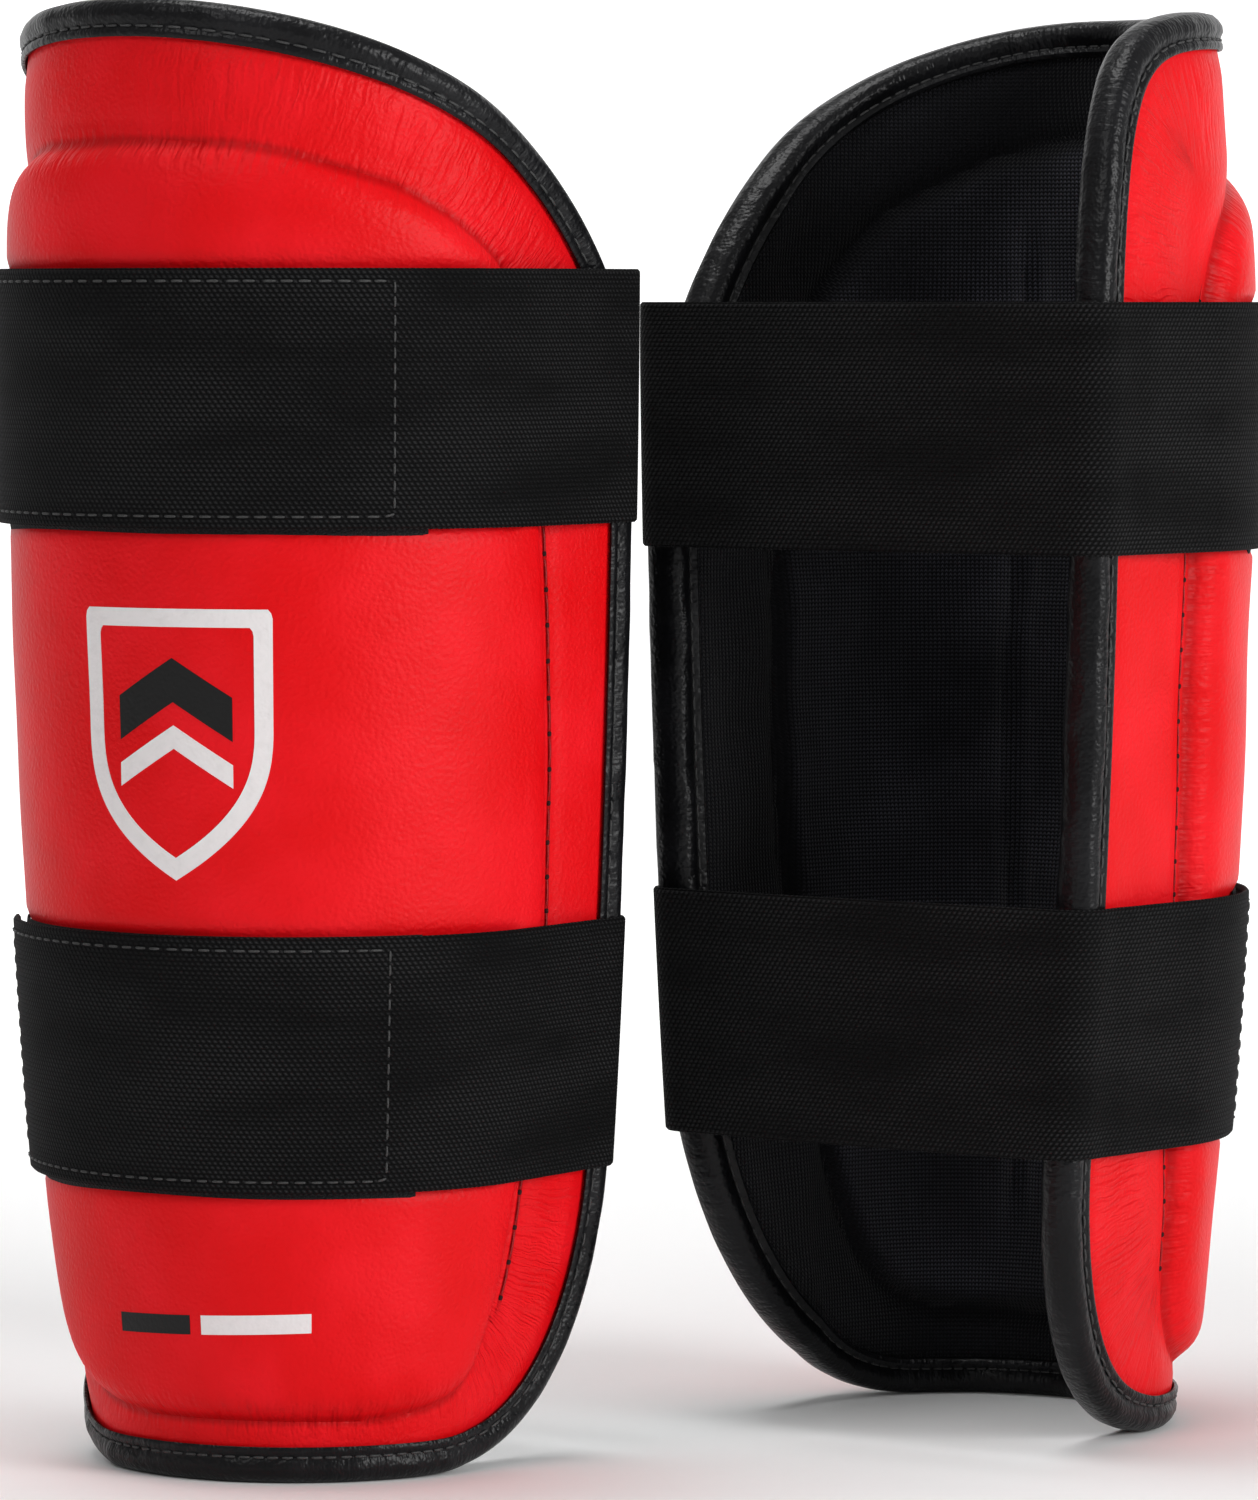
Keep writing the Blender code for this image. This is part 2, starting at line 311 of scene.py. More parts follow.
class Value:
    """A shader socket that takes part in arithmetic."""

    def __init__(self, graph: "Graph", socket: bpy.types.NodeSocket) -> None:
        """Keep the socket and the graph it belongs to."""
        self.graph = graph
        self.socket = socket

    def __add__(self, other: "Value | float") -> "Value":
        """Sum."""
        return self.graph.math("ADD", self, other)

    def __sub__(self, other: "Value | float") -> "Value":
        """Difference."""
        return self.graph.math("SUBTRACT", self, other)

    def __mul__(self, other: "Value | float") -> "Value":
        """Product."""
        return self.graph.math("MULTIPLY", self, other)

    def __truediv__(self, other: "Value | float") -> "Value":
        """Quotient."""
        return self.graph.math("DIVIDE", self, other)

    def __radd__(self, other: float) -> "Value":
        """Sum with a plain number first."""
        return self.graph.math("ADD", other, self)

    def __rsub__(self, other: float) -> "Value":
        """Difference with a plain number first."""
        return self.graph.math("SUBTRACT", other, self)

    def __rmul__(self, other: float) -> "Value":
        """Product with a plain number first."""
        return self.graph.math("MULTIPLY", other, self)

    def sin(self) -> "Value":
        """Sine."""
        return self.graph.math("SINE", self)

    def abs(self) -> "Value":
        """Size without sign."""
        return self.graph.math("ABSOLUTE", self)

    def floor(self) -> "Value":
        """Whole part."""
        return self.graph.math("FLOOR", self)

    def step(self, low: float, high: float) -> "Value":
        """Rise softly from 0 at low to 1 at high."""
        return self.graph.step(self, low, high)


class Graph:
    """A material's node tree."""

    def __init__(self, name: str) -> None:
        """Make the material with an empty tree, its shader and its output."""
        self.material = bpy.data.materials.new(name)
        self.material.use_nodes = True
        self.tree = self.material.node_tree
        self.tree.nodes.clear()
        self.shader = self.node("ShaderNodeBsdfPrincipled")
        output = self.node("ShaderNodeOutputMaterial")
        self.tree.links.new(self.shader.outputs[0], output.inputs[0])
        self.normal: bpy.types.NodeSocket | None = None

    def node(self, kind: str, settings: dict | None = None, inputs: dict | None = None) -> bpy.types.Node:
        """Add a node.

        Args:
            kind: The node's type.
            settings: Its properties, which are set first.
            inputs: Socket values or Values by socket name or number.

        Returns:
            The node.
        """
        made = self.tree.nodes.new(kind)
        for key, value in (settings or {}).items():
            setattr(made, key, value)
        for key, value in (inputs or {}).items():
            self.feed(made.inputs[key], value)
        return made

    def feed(self, socket: bpy.types.NodeSocket, value: "Value | float | tuple") -> None:
        """Link a Value to a socket, or set a plain value on it."""
        if isinstance(value, Value):
            self.tree.links.new(value.socket, socket)
        else:
            socket.default_value = value

    def math(self, operation: str, *values: "Value | float") -> Value:
        """Arithmetic on one to three values."""
        made = self.node("ShaderNodeMath", {"operation": operation}, dict(enumerate(values)))
        return Value(self, made.outputs[0])

    def step(self, value: Value, low: float, high: float) -> Value:
        """Rise softly from 0 at low to 1 at high."""
        made = self.node("ShaderNodeMapRange", {"interpolation_type": "SMOOTHSTEP"},
                         {"Value": value, "From Min": low, "From Max": high})
        return Value(self, made.outputs[0])

    def uv(self, name: str) -> tuple[Value, Value]:
        """The two coordinates of a UV map."""
        made = self.node("ShaderNodeUVMap", {"uv_map": name})
        parts = self.node("ShaderNodeSeparateXYZ", inputs={0: Value(self, made.outputs[0])})
        return Value(self, parts.outputs[0]), Value(self, parts.outputs[1])

    def number(self, name: str) -> Value:
        """A number stored on the mesh."""
        return Value(self, self.node("ShaderNodeAttribute", {"attribute_name": name}).outputs["Fac"])

    def place(self) -> Value:
        """Object coordinates."""
        return Value(self, self.node("ShaderNodeTexCoord").outputs["Object"])

    def join(self, x: "Value | float", y: "Value | float", z: "Value | float" = 0.0) -> Value:
        """Three numbers as a vector."""
        return Value(self, self.node("ShaderNodeCombineXYZ", inputs={0: x, 1: y, 2: z}).outputs[0])

    def noise(self, vector: Value, scale: float, detail: float = 3.0, rough: float = 0.5) -> Value:
        """Cloudy noise from 0 to 1."""
        made = self.node("ShaderNodeTexNoise",
                         inputs={"Vector": vector, "Scale": scale, "Detail": detail, "Roughness": rough})
        return Value(self, made.outputs["Fac"])

    def cells(self, vector: Value, scale: float) -> Value:
        """Distance from the middle of each of many small cells."""
        made = self.node("ShaderNodeTexVoronoi", {"feature": "SMOOTH_F1"}, {"Vector": vector, "Scale": scale})
        return Value(self, made.outputs["Distance"])

    def blend(self, factor: "Value | float", a: "Value | tuple", b: "Value | tuple") -> Value:
        """A colour between two colours."""
        made = self.node("ShaderNodeMix", {"data_type": "RGBA"}, {0: factor, 6: a, 7: b})
        return Value(self, made.outputs[2])

    def bump(self, height: Value, depth: float) -> None:
        """Add relief of a real depth on top of the relief so far."""
        made = self.node("ShaderNodeBump", inputs={"Strength": 1.0, "Distance": depth, "Height": height})
        if self.normal:
            self.tree.links.new(self.normal, made.inputs["Normal"])
        self.normal = made.outputs[0]

    def finish(self, colour: "Value | tuple", roughness: "Value | float",
               **plain: float | tuple) -> bpy.types.Material:
        """Connect the shader.

        Args:
            colour: The base colour.
            roughness: The roughness.
            plain: Other sockets of the shader, by name with spaces as underscores.

        Returns:
            The material.
        """
        self.feed(self.shader.inputs["Base Color"], colour)
        self.feed(self.shader.inputs["Roughness"], roughness)
        for key, value in plain.items():
            self.shader.inputs[key.replace("_", " ")].default_value = value
        if self.normal:
            self.tree.links.new(self.normal, self.shader.inputs["Normal"])
        return self.material


def grey(level: float) -> tuple[float, float, float, float]:
    """A neutral colour."""
    return (level, level, level, 1.0)


@dataclass(frozen=True)
class RedLeather:
    """Grained synthetic leather, with puckers along its edges and along the pad's crease. Its colour carries
    painted shade in the crease and in the side seams' stitch groove, and painted highlights on the flange's
    folds.
    """

    colour: tuple = (0.70, 0.0018, 0.0042, 1.0)
    # deeper red used as painted shade: along the pad's crease and in the side seams' stitch groove
    deep: tuple = (0.36, 0.001, 0.002, 1.0)
    # lighter red: random tone, and the painted highlight on the crests of the flange's folds
    light_tone_and_fold_highlight: tuple = (0.79, 0.0060, 0.012, 1.0)
    grain: float = 1250.0
    grain_depth: float = 0.00020

    def make(self) -> bpy.types.Material:
        """Build the material."""
        g = Graph("red_leather_fine")
        s, z = g.uv("sheet")
        around, inside = g.uv("edge")
        along, within = g.uv("crease")
        flat = g.join(s, z)
        crumple = g.number("crumple")
        grain = g.cells(flat, self.grain) * 0.6 + g.noise(flat, self.grain * 0.8, 2.0) * 0.5
        tone = g.noise(flat, 38.0, 3.0)
        bend = g.noise(flat, 90.0, 2.0) * 0.004
        fold = (g.noise(g.join(around + bend, inside * 0.16), 300.0, 2.0, 0.6) - 0.5).abs() * -2.0 + 1.0
        strip = inside.step(0.006, 0.011) * (1.0 - inside.step(0.024, 0.034))
        border = strip * (1.0 - within.step(-0.002, 0.003))
        folds = fold * crumple * border
        pucker = g.noise(g.join(along, within * 0.25), 380.0, 2.0, 0.6)
        beside = (1.0 - within.step(0.0012, 0.0075)) * within.step(-0.0045, -0.0005)
        puckers = pucker * beside
        g.bump(folds, 0.00095)
        g.bump(puckers, 0.0011)
        g.bump(grain, self.grain_depth)
        # painted shade: a dark line along the pad's crease, where the cover folds in
        groove = 1.0 - within.abs().step(0.0002, 0.0018)
        sewn = s.abs().step(0.055, 0.066) * z.step(0.028, 0.036) * (1.0 - z.step(0.228, 0.236))
        # a narrow groove along each side seam; darkening its colour below is painted shade under the red
        # thread
        thread = (1.0 - (within - SEAM_OFFSET).abs().step(0.0001, 0.0006)) * sewn
        g.bump(1.0 - thread, 0.0005)
        colour = g.blend(tone.step(0.35, 0.7), self.colour, self.light_tone_and_fold_highlight)
        colour = g.blend(groove * 0.60, colour, self.deep)
        colour = g.blend(thread * 0.85, colour, self.deep)
        # painted highlight on the crests of the flange's folds
        colour = g.blend(folds * folds * 0.25, colour, self.light_tone_and_fold_highlight)
        rough = 0.44 + tone * 0.10 - grain * 0.05
        return g.finish(colour, rough, Specular_IOR_Level=0.13)


@dataclass(frozen=True)
class BlackLeather:
    """Glossier black synthetic leather with a pebbled grain."""

    colour: tuple = (0.0034, 0.0034, 0.0040, 1.0)
    worn: tuple = (0.0080, 0.0080, 0.0092, 1.0)

    def make(self) -> bpy.types.Material:
        """Build the material."""
        g = Graph("black_leather_fine")
        around, across = g.uv("edge")
        flat = g.join(around, across)
        grain = g.cells(flat, 1300.0)
        crinkle = g.noise(g.join(around, across * 0.22), 330.0, 3.0, 0.6)
        soft = g.noise(flat, 60.0, 2.0)
        g.bump(crinkle * soft.step(0.38, 0.62), 0.0007)
        g.bump(grain, 0.00015)
        colour = g.blend(soft.step(0.35, 0.75), self.colour, self.worn)
        return g.finish(colour, 0.27 + soft * 0.16, Specular_IOR_Level=0.19)


@dataclass(frozen=True)
class Knit:
    """Brushed jersey knit: columns of small V-shaped loops, with a painted sheen on their crests that is
    stronger over the calf cushion, and painted shade in the cushion's edge groove.
    """

    colour: tuple = (0.0035, 0.0035, 0.0050, 1.0)
    light: tuple = (0.100, 0.100, 0.128, 1.0)
    wale: float = 0.0011
    course: float = 0.00085

    def make(self) -> bpy.types.Material:
        """Build the material."""
        g = Graph("lining_knit_fine")
        s, z = g.uv("sheet")
        drift = (g.noise(g.join(s, z), 45.0, 2.0) - 0.5) * 0.0012
        column = (s + drift) / self.wale
        lean = (column - column.floor() - 0.5).abs()
        loops = ((z / self.course + lean * 1.1) * (2.0 * math.pi)).sin() * 0.5 + 0.5
        ribs = (column * math.pi).sin().abs()
        fuzz = g.noise(g.join(s, z), 2600.0, 2.0)
        height = loops * 0.6 + ribs * 0.8 + fuzz * 0.5
        g.bump(height, 0.00036)
        soft = g.noise(g.join(s, z), 30.0, 3.0)
        # painted sheen on the loops' crests, stronger over the raised cushion; the cushion's edge groove gets
        # painted shade
        shine = (loops * ribs + fuzz * 0.35) * (soft.step(0.25, 0.8) * 0.5 + 0.5)
        shine = shine * (g.number("cushion") * 0.55 + 0.45)
        return g.finish(g.blend(shine.step(0.1, 1.25), self.colour, self.light), 0.86,
                        Specular_IOR_Level=0.16, Sheen_Weight=0.07, Sheen_Roughness=0.5)


@dataclass(frozen=True)
class Elastic:
    """Woven elastic: rows of knuckles that step half a pitch from row to row."""

    colour: tuple = (0.0018, 0.0018, 0.0020, 1.0)
    light: tuple = (0.024, 0.024, 0.025, 1.0)
    row: float = 0.00088
    knuckle: float = 0.00120

    def make(self) -> bpy.types.Material:
        """Build the material."""
        g = Graph("elastic_fine")
        u, v = g.uv("weave")
        drift = (g.noise(g.join(u, v), 30.0, 2.0) - 0.5) * 0.0006
        line = v / self.row
        row = line.floor()
        inside = line - row
        ridge = (inside * math.pi).sin()
        lean = (u + drift) / self.knuckle + row * 0.5 + inside * 0.35
        knuckles = (lean * (2.0 * math.pi)).sin() * 0.5 + 0.5
        fibre = g.noise(g.join(u * 0.4, v), 2400.0, 2.0)
        height = ridge * (knuckles * 0.75 + 0.25) + fibre * 0.25
        g.bump(height, 0.00055)
        soft = g.noise(g.join(u * 0.3, v), 70.0, 3.0)
        shine = ridge * knuckles * (soft.step(0.3, 0.7) * 0.7 + 0.35) + fibre * 0.15
        return g.finish(g.blend(shine.step(0.05, 1.0), self.colour, self.light), 0.78,
                        Specular_IOR_Level=0.10)


@dataclass(frozen=True)
class Tape:
    """Hook or loop tape: a dense pile of nylon."""

    name: str
    colour: tuple = (0.006, 0.006, 0.0065, 1.0)
    light: tuple = (0.022, 0.022, 0.024, 1.0)
    scale: float = 1700.0

    def make(self) -> bpy.types.Material:
        """Build the material."""
        g = Graph(self.name)
        u, v = g.uv("weave")
        pile = g.cells(g.join(u, v), self.scale)
        fuzz = g.noise(g.join(u, v), self.scale * 1.6, 3.0)
        g.bump(pile + fuzz, 0.00035)
        return g.finish(g.blend(fuzz.step(0.3, 0.8), self.colour, self.light), 0.9,
                        Specular_IOR_Level=0.10, Sheen_Weight=0.05, Sheen_Roughness=0.6)


@dataclass(frozen=True)
class Thread:
    """Twisted sewing thread."""

    name: str
    colour: tuple
    rough: float = 0.55

    def make(self) -> bpy.types.Material:
        """Build the material."""
        g = Graph(self.name)
        place = g.place()
        twist = g.noise(place, 3800.0, 2.0)
        g.bump(twist, 0.0001)
        dark = tuple(part * 0.45 for part in self.colour[:3]) + (1.0,)
        return g.finish(g.blend(twist.step(0.3, 0.7), dark, self.colour), self.rough, Specular_IOR_Level=0.4)


@dataclass(frozen=True)
class Ink:
    """Screen-printed ink that follows the leather's grain."""

    name: str
    colour: tuple

    def make(self) -> bpy.types.Material:
        """Build the material."""
        g = Graph(self.name)
        s, z = g.uv("sheet")
        flat = g.join(s, z)
        grain = g.cells(flat, 1500.0)
        g.bump(grain, 0.00006)
        worn = g.noise(flat, 500.0, 3.0)
        shade = tuple(part * 0.95 for part in self.colour[:3]) + (1.0,)
        colour = g.blend(worn.step(0.45, 0.75), self.colour, shade)
        return g.finish(colour, 0.42 + grain * 0.1, Specular_IOR_Level=0.25)


@dataclass(frozen=True)
class Paper:
    """The matt studio floor."""

    colour: tuple = (0.90, 0.90, 0.90, 1.0)

    def make(self) -> bpy.types.Material:
        """Build the material."""
        g = Graph("studio_paper")
        place = g.place()
        speck = g.noise(place, 300.0, 2.0)
        parts = g.node("ShaderNodeSeparateXYZ", inputs={0: place})
        glow = g.blend(Value(g, parts.outputs[1]).step(0.0, 1.4), grey(0.0), grey(1.0))
        g.feed(g.shader.inputs["Emission Color"], glow)
        return g.finish(g.blend(speck, self.colour, grey(0.915)), 0.95,
                        Specular_IOR_Level=0.1, Emission_Strength=0.72)


class Looks:
    """Every material, made once."""

    def __init__(self) -> None:
        """Make the materials."""
        self.red = RedLeather().make()
        self.black = BlackLeather().make()
        self.knit = Knit().make()
        self.elastic = Elastic().make()
        self.loop = Tape("loop_tape_fine").make()
        self.hook = Tape("hook_tape_fine", scale=900.0).make()
        self.black_thread = Thread("black_thread", grey(0.050)).make()
        self.red_thread = Thread("red_thread", (0.42, 0.006, 0.008, 1.0)).make()
        # needle holes: dark capsules whose colour is painted shade inside each hole
        self.hole_shade = Thread("needle_hole_shade", (0.030, 0.002, 0.002, 1.0), 0.9).make()
        self.white_ink = Ink("white_ink", (0.80, 0.76, 0.76, 1.0)).make()
        self.black_ink = Ink("black_ink", grey(0.006)).make()
        self.paper = Paper().make()


# ---------------------------------------------------------------- the guards' form

@dataclass(frozen=True)
class Corner:
    """How an edge leaves the level: a slow crown, then a round corner that starts at flat."""

    crown: float
    drop: float
    flat: float
    power: float

    def depth(self, s: Array) -> Array:
        """Distance of the edge from its level line."""
        run = np.clip((np.abs(s) - self.flat) / (HALF_WIDTH - self.flat), 0.0, 1.0)
        return self.crown * (s / HALF_WIDTH) ** 2 + self.drop * (1.0 - np.sqrt(1.0 - run ** self.power))


class Side(Enum):
    """Which guard of the pair."""

    LEFT = "left"
    RIGHT = "right"


@dataclass(frozen=True)
class GuardPlan:
    """One guard's place, outline, pad outline and strap heights."""

    side: Side
    mirror: float
    place: tuple[float, float]
    turn: float
    outer_top: Corner
    inner_top: Corner
    outer_bottom: Corner
    inner_bottom: Corner
    straps: dict[str, float]
    pad: tuple[tuple[float, float], ...]
    pad_inner: tuple[tuple[float, float], ...]
    fold: float
    lean: float = 0.0

    @property
    def name(self) -> str:
        """The side's name."""
        return self.side.value


@dataclass(frozen=True)
class Sheet:
    """The flat cut sheet of a guard and its way round the leg."""

    plan: GuardPlan

    def local(self, s: Array, z: Array, d: Array) -> Array:
        """Points in the guard's own frame."""
        s, z, d = np.broadcast_arrays(s, z, d)
        rise = np.clip(z / HEIGHT, 0.0, 1.0)
        radius = FRONT_RADIUS * (ANKLE_SCALE + (1.0 - ANKLE_SCALE) * (1.0 - (1.0 - rise) ** TAPER_POWER))
        radius = radius - self.plan.lean * np.clip((z - LEAN_START) / (HEIGHT - LEAN_START), 0.0, 1.0) ** 2
        angle = np.minimum(np.abs(s), QUARTER) / FRONT_RADIUS
        past = np.maximum(0.0, np.abs(s) - QUARTER)
        x = (radius + d) * np.sin(angle) + past * math.sin(WING_FLARE)
        y = -(radius + d) * np.cos(angle) + past * math.cos(WING_FLARE)
        return np.stack([np.copysign(x, s), y, z], axis=-1)

    def settle(self, local: Array) -> Array:
        """Move points from the guard's frame to the world."""
        x, y, z = local[..., 0] * self.plan.mirror, local[..., 1], local[..., 2]
        cos, sin = math.cos(self.plan.turn), math.sin(self.plan.turn)
        across, ahead = self.plan.place
        return np.stack([x * cos - y * sin + across, x * sin + y * cos + ahead, z], axis=-1)

    def world(self, s: Array, z: Array, d: Array) -> Array:
        """Points of the sheet in the world."""
        return self.settle(self.local(s, z, d))

    def edges(self, s: Array) -> tuple[Array, Array]:
        """Lowest and highest z of the sheet."""
        plan = self.plan
        low = np.where(s >= 0.0, plan.outer_bottom.depth(s), plan.inner_bottom.depth(s))
        high = HEIGHT - np.where(s >= 0.0, plan.outer_top.depth(s), plan.inner_top.depth(s))
        return low, high

    def outline(self) -> Array:
        """The sheet's edge as a closed line, anticlockwise from the middle of the inner wing."""
        s = HALF_WIDTH * np.sin(np.linspace(-math.pi / 2, math.pi / 2, 1601))
        low, high = self.edges(s)
        middle = np.array([[-HALF_WIDTH, (low[0] + high[0]) / 2]])
        line = np.vstack([middle, np.stack([s, low], 1), np.stack([s, high], 1)[::-1]])
        return rounded(resample(line, LINE_STEP, True), 40)

    def grid(self, columns: int, rows: int, inset: float) -> tuple[Array, Array]:
        """An even grid over the sheet, inset from its edge.

        Args:
            columns: Grid lines along s.
            rows: Grid lines along z.
            inset: Distance from the edge.

        Returns:
            s and z as (columns, rows) arrays.
        """
        t = np.linspace(-1.0, 1.0, columns)
        share = 0.62 * t + 0.38 * np.sin(t * math.pi / 2)
        low, high = self.edges(share * HALF_WIDTH)
        low, high = low + inset, high - inset
        s = np.repeat((share * (HALF_WIDTH - inset))[:, None], rows, axis=1)
        return s, low[:, None] + (high - low)[:, None] * np.linspace(0.0, 1.0, rows)[None, :]


# The raised pad's outline and the calf cushion's, as s and z, from the top down.
PAD_TOP = ((0.0, 0.2610), (0.0255, 0.2604), (0.0371, 0.2584), (0.0585, 0.2519), (0.0695, 0.2462),
           (0.0816, 0.2375))
PAD_FOOT = ((0.0832, 0.0189), (0.0790, 0.0160), (0.0729, 0.0142), (0.0577, 0.0124), (0.0207, 0.0124),
            (0.0, 0.0126))
PAD_WIDE = PAD_TOP + ((0.0895, 0.2240), (0.0925, 0.2050), (0.0936, 0.1835), (0.0966, 0.1421),
                      (0.0974, 0.1123), (0.0960, 0.0800), (0.0930, 0.0545), (0.0908, 0.0406),
                      (0.0876, 0.0284)) + PAD_FOOT
PAD_NARROW = PAD_TOP[:-1] + ((0.0760, 0.2380), (0.0810, 0.2250), (0.0830, 0.2050), (0.0835, 0.1700),
                             (0.0830, 0.1200), (0.0815, 0.0800), (0.0800, 0.0500), (0.0785, 0.0350),
                             (0.0750, 0.0240), (0.0690, 0.0170)) + PAD_FOOT[3:]
CUSHION = ((0.0, 0.2651), (0.0249, 0.2606), (0.0519, 0.2489), (0.0719, 0.2308), (0.0825, 0.2050),
           (0.0856, 0.1762), (0.0874, 0.1352), (0.0852, 0.1055), (0.0805, 0.0720), (0.0749, 0.0490),
           (0.0649, 0.0289), (0.0550, 0.0215), (0.0411, 0.0179), (0.0, 0.0174))
PAD_INNER = ((-0.0255, 0.2600), (-0.0371, 0.2570), (-0.0443, 0.2530), (-0.0520, 0.2475), (-0.0600, 0.2375),
             (-0.0655, 0.2200), (-0.0670, 0.2000), (-0.0670, 0.1500), (-0.0645, 0.1100), (-0.0600, 0.0850),
             (-0.0545, 0.0650), (-0.0485, 0.0480), (-0.0435, 0.0360), (-0.0380, 0.0260), (-0.0310, 0.0190),
             (-0.0230, 0.0150), (-0.0120, 0.0130))

PLANS = (
    GuardPlan(Side.LEFT, 1.0, (-0.067228, -0.022396), math.radians(-38.5),
              Corner(0.042, 0.035, 0.0, 5.0), Corner(0.030, 0.050, 0.0, 5.0),
              Corner(0.0, 0.062, 0.070, 2.8), Corner(0.0, 0.090, 0.020, 1.7),
              {"upper": 0.2115, "lower": 0.083}, PAD_WIDE, PAD_INNER, -0.0195),
    GuardPlan(Side.RIGHT, -1.0, (0.067272, 0.022604), math.radians(144.0),
              Corner(0.0, 0.075, 0.0, 10.0), Corner(0.052, 0.050, 0.0, 5.0),
              Corner(0.0, 0.062, 0.070, 2.8), Corner(0.0, 0.083, 0.045, 2.3),
              {"upper": 0.205, "lower": 0.085}, PAD_NARROW,
              tuple((-s, z) for s, z in PAD_NARROW[1:-1]), -0.0195, lean=0.0045),
)


def closed_line(outer: Array, inner: Array, passes: int) -> Array:
    """A closed line, anticlockwise, from its two halves, each listed from the top down.

    It starts on the inner side at the height of the lower strap, which hides its seam.
    """
    loop = rounded(resample(np.vstack([outer[::-1], inner]), LINE_STEP, True), passes)
    start = np.argmin(np.where(loop[:, 0] < 0.0, np.abs(loop[:, 1] - 0.084), 1.0))
    return np.roll(loop, -int(start), axis=0)


@dataclass
class Relief:
    """How the cover and the lining stand off the flat sheet."""

    sheet: Sheet
    shoulder: float = 0.0100
    height: float = 0.0046
    crown: float = 0.0008
    crown_reach: float = 0.03
    puff: float = 0.0005
    groove: float = 0.0004
    wave: float = 0.00016
    cushion_rise: float = 0.0031
    cushion_shoulder: float = 0.007
    cushion_groove: float = 0.0007
    lining_wave: float = 0.00028

    def __post_init__(self) -> None:
        """Work out the lines that the relief follows."""
        self.outline = self.sheet.outline()
        plan = self.sheet.plan
        half = np.array(CUSHION)
        self.pad = closed_line(np.array(plan.pad), np.array(plan.pad_inner), 14)
        self.cushion = closed_line(half, half[1:-1] * [-1.0, 1.0], 14)

    @staticmethod
    def swell(inside: Array, width: float) -> Array:
        """A rounded shoulder: 0 outside, 1 further inside than width."""
        return 1.0 - (1.0 - np.clip(inside / width, 0.0, 1.0)) ** 2.8

    def cover(self, s: Array, z: Array) -> tuple[Array, dict[str, Array]]:
        """The cover's depth, with the places beside the edge and the crease.

        Args:
            s: Places along the sheet.
            z: Heights.

        Returns:
            The depth, and (…, 2) arrays "edge" and "crease" of the distances along and inside.
        """
        flat = np.stack([s.ravel(), z.ravel()], 1)
        around, inside = nearest(flat, self.outline)
        along, within = nearest(flat, self.pad)
        shape = s.shape
        around, inside, along, within = (part.reshape(shape) for part in (around, inside, along, within))
        crown = self.crown * (1.0 - np.exp(-np.maximum(within, 0) / self.crown_reach))
        pad = self.height * self.swell(within, self.shoulder) + crown
        puff = self.puff * smooth(0.0055, 0.013, inside) * smooth(0.0, 0.008, -within)
        groove = self.groove * bell(within, 0.0020)
        stitched = smooth(0.045, 0.060, z) * (1.0 - smooth(0.222, 0.236, z)) * smooth(0.06, 0.075, np.abs(s))
        seam = self.groove * bell(within - SEAM_OFFSET, 0.0022) * stitched
        press = sum(
            smooth(0.0275, 0.0235, np.abs(z - centre)) * smooth(0.088, 0.080, s) * smooth(-0.066, -0.052, s)
            for centre in self.sheet.plan.straps.values()
        )
        seed = 5 if self.sheet.plan.side is Side.LEFT else 8
        wave = self.wave * ripple(s, z, seed) * smooth(0.006, 0.02, inside) * (1.0 - press)
        depth = pad + puff - groove - seam + wave - PRESS * press * smooth(0.0, 0.012, within)
        return depth, {"edge": np.stack([around, inside], -1), "crease": np.stack([along, within], -1)}

    def lining(self, s: Array, z: Array) -> tuple[Array, Array]:
        """How far the lining rises off its flat border, and 1 over its cushion, dipping in the cushion's
        groove, where the knit's colour is darkened as painted shade.

        Args:
            s: Places along the sheet.
            z: Heights.

        Returns:
            The rise towards the leg, and the cushion's share, which dips along its edge.
        """
        flat = np.stack([s.ravel(), z.ravel()], 1)
        inside = nearest(flat, self.outline)[1].reshape(s.shape)
        within = nearest(flat, self.cushion)[1].reshape(s.shape)
        pad = self.cushion_rise * self.swell(within, self.cushion_shoulder)
        pad -= self.cushion_groove * bell(within, 0.0020)
        puff = 0.0007 * smooth(0.006, 0.013, inside) * smooth(0.0, 0.006, -within)
        run = s - self.sheet.plan.fold - 0.002 * np.sin(z * 34.0)
        fold = (0.0016 * bell(run, 0.0020) - 0.0009 * bell(run - 0.0042, 0.0022)) * smooth(0.03, 0.05, z)
        fold *= 1.0 - smooth(0.235, 0.25, z)
        wave = self.lining_wave * ripple(s, z, 21, short=0.018, long=0.06) * smooth(0.006, 0.02, inside)
        # 1 over the cushion, dipping in its edge groove; the knit uses it to paint a stronger sheen over the
        # cushion and shade in the groove
        cushion = smooth(0.0, 0.006, within) - 0.75 * bell(within - 0.0005, 0.0022)
        return pad + puff + fold + wave, cushion


def skin_lattice(outer: Array, inner: Array, maps: dict[str, Array]) -> Lattice:
    """A slab between two grids of points, with the same maps on both of its faces."""
    rings = np.concatenate([outer, inner[:, ::-1]], axis=1)
    return Lattice(rings, {key: np.concatenate([grid, grid[:, ::-1]], axis=1) for key, grid in maps.items()})


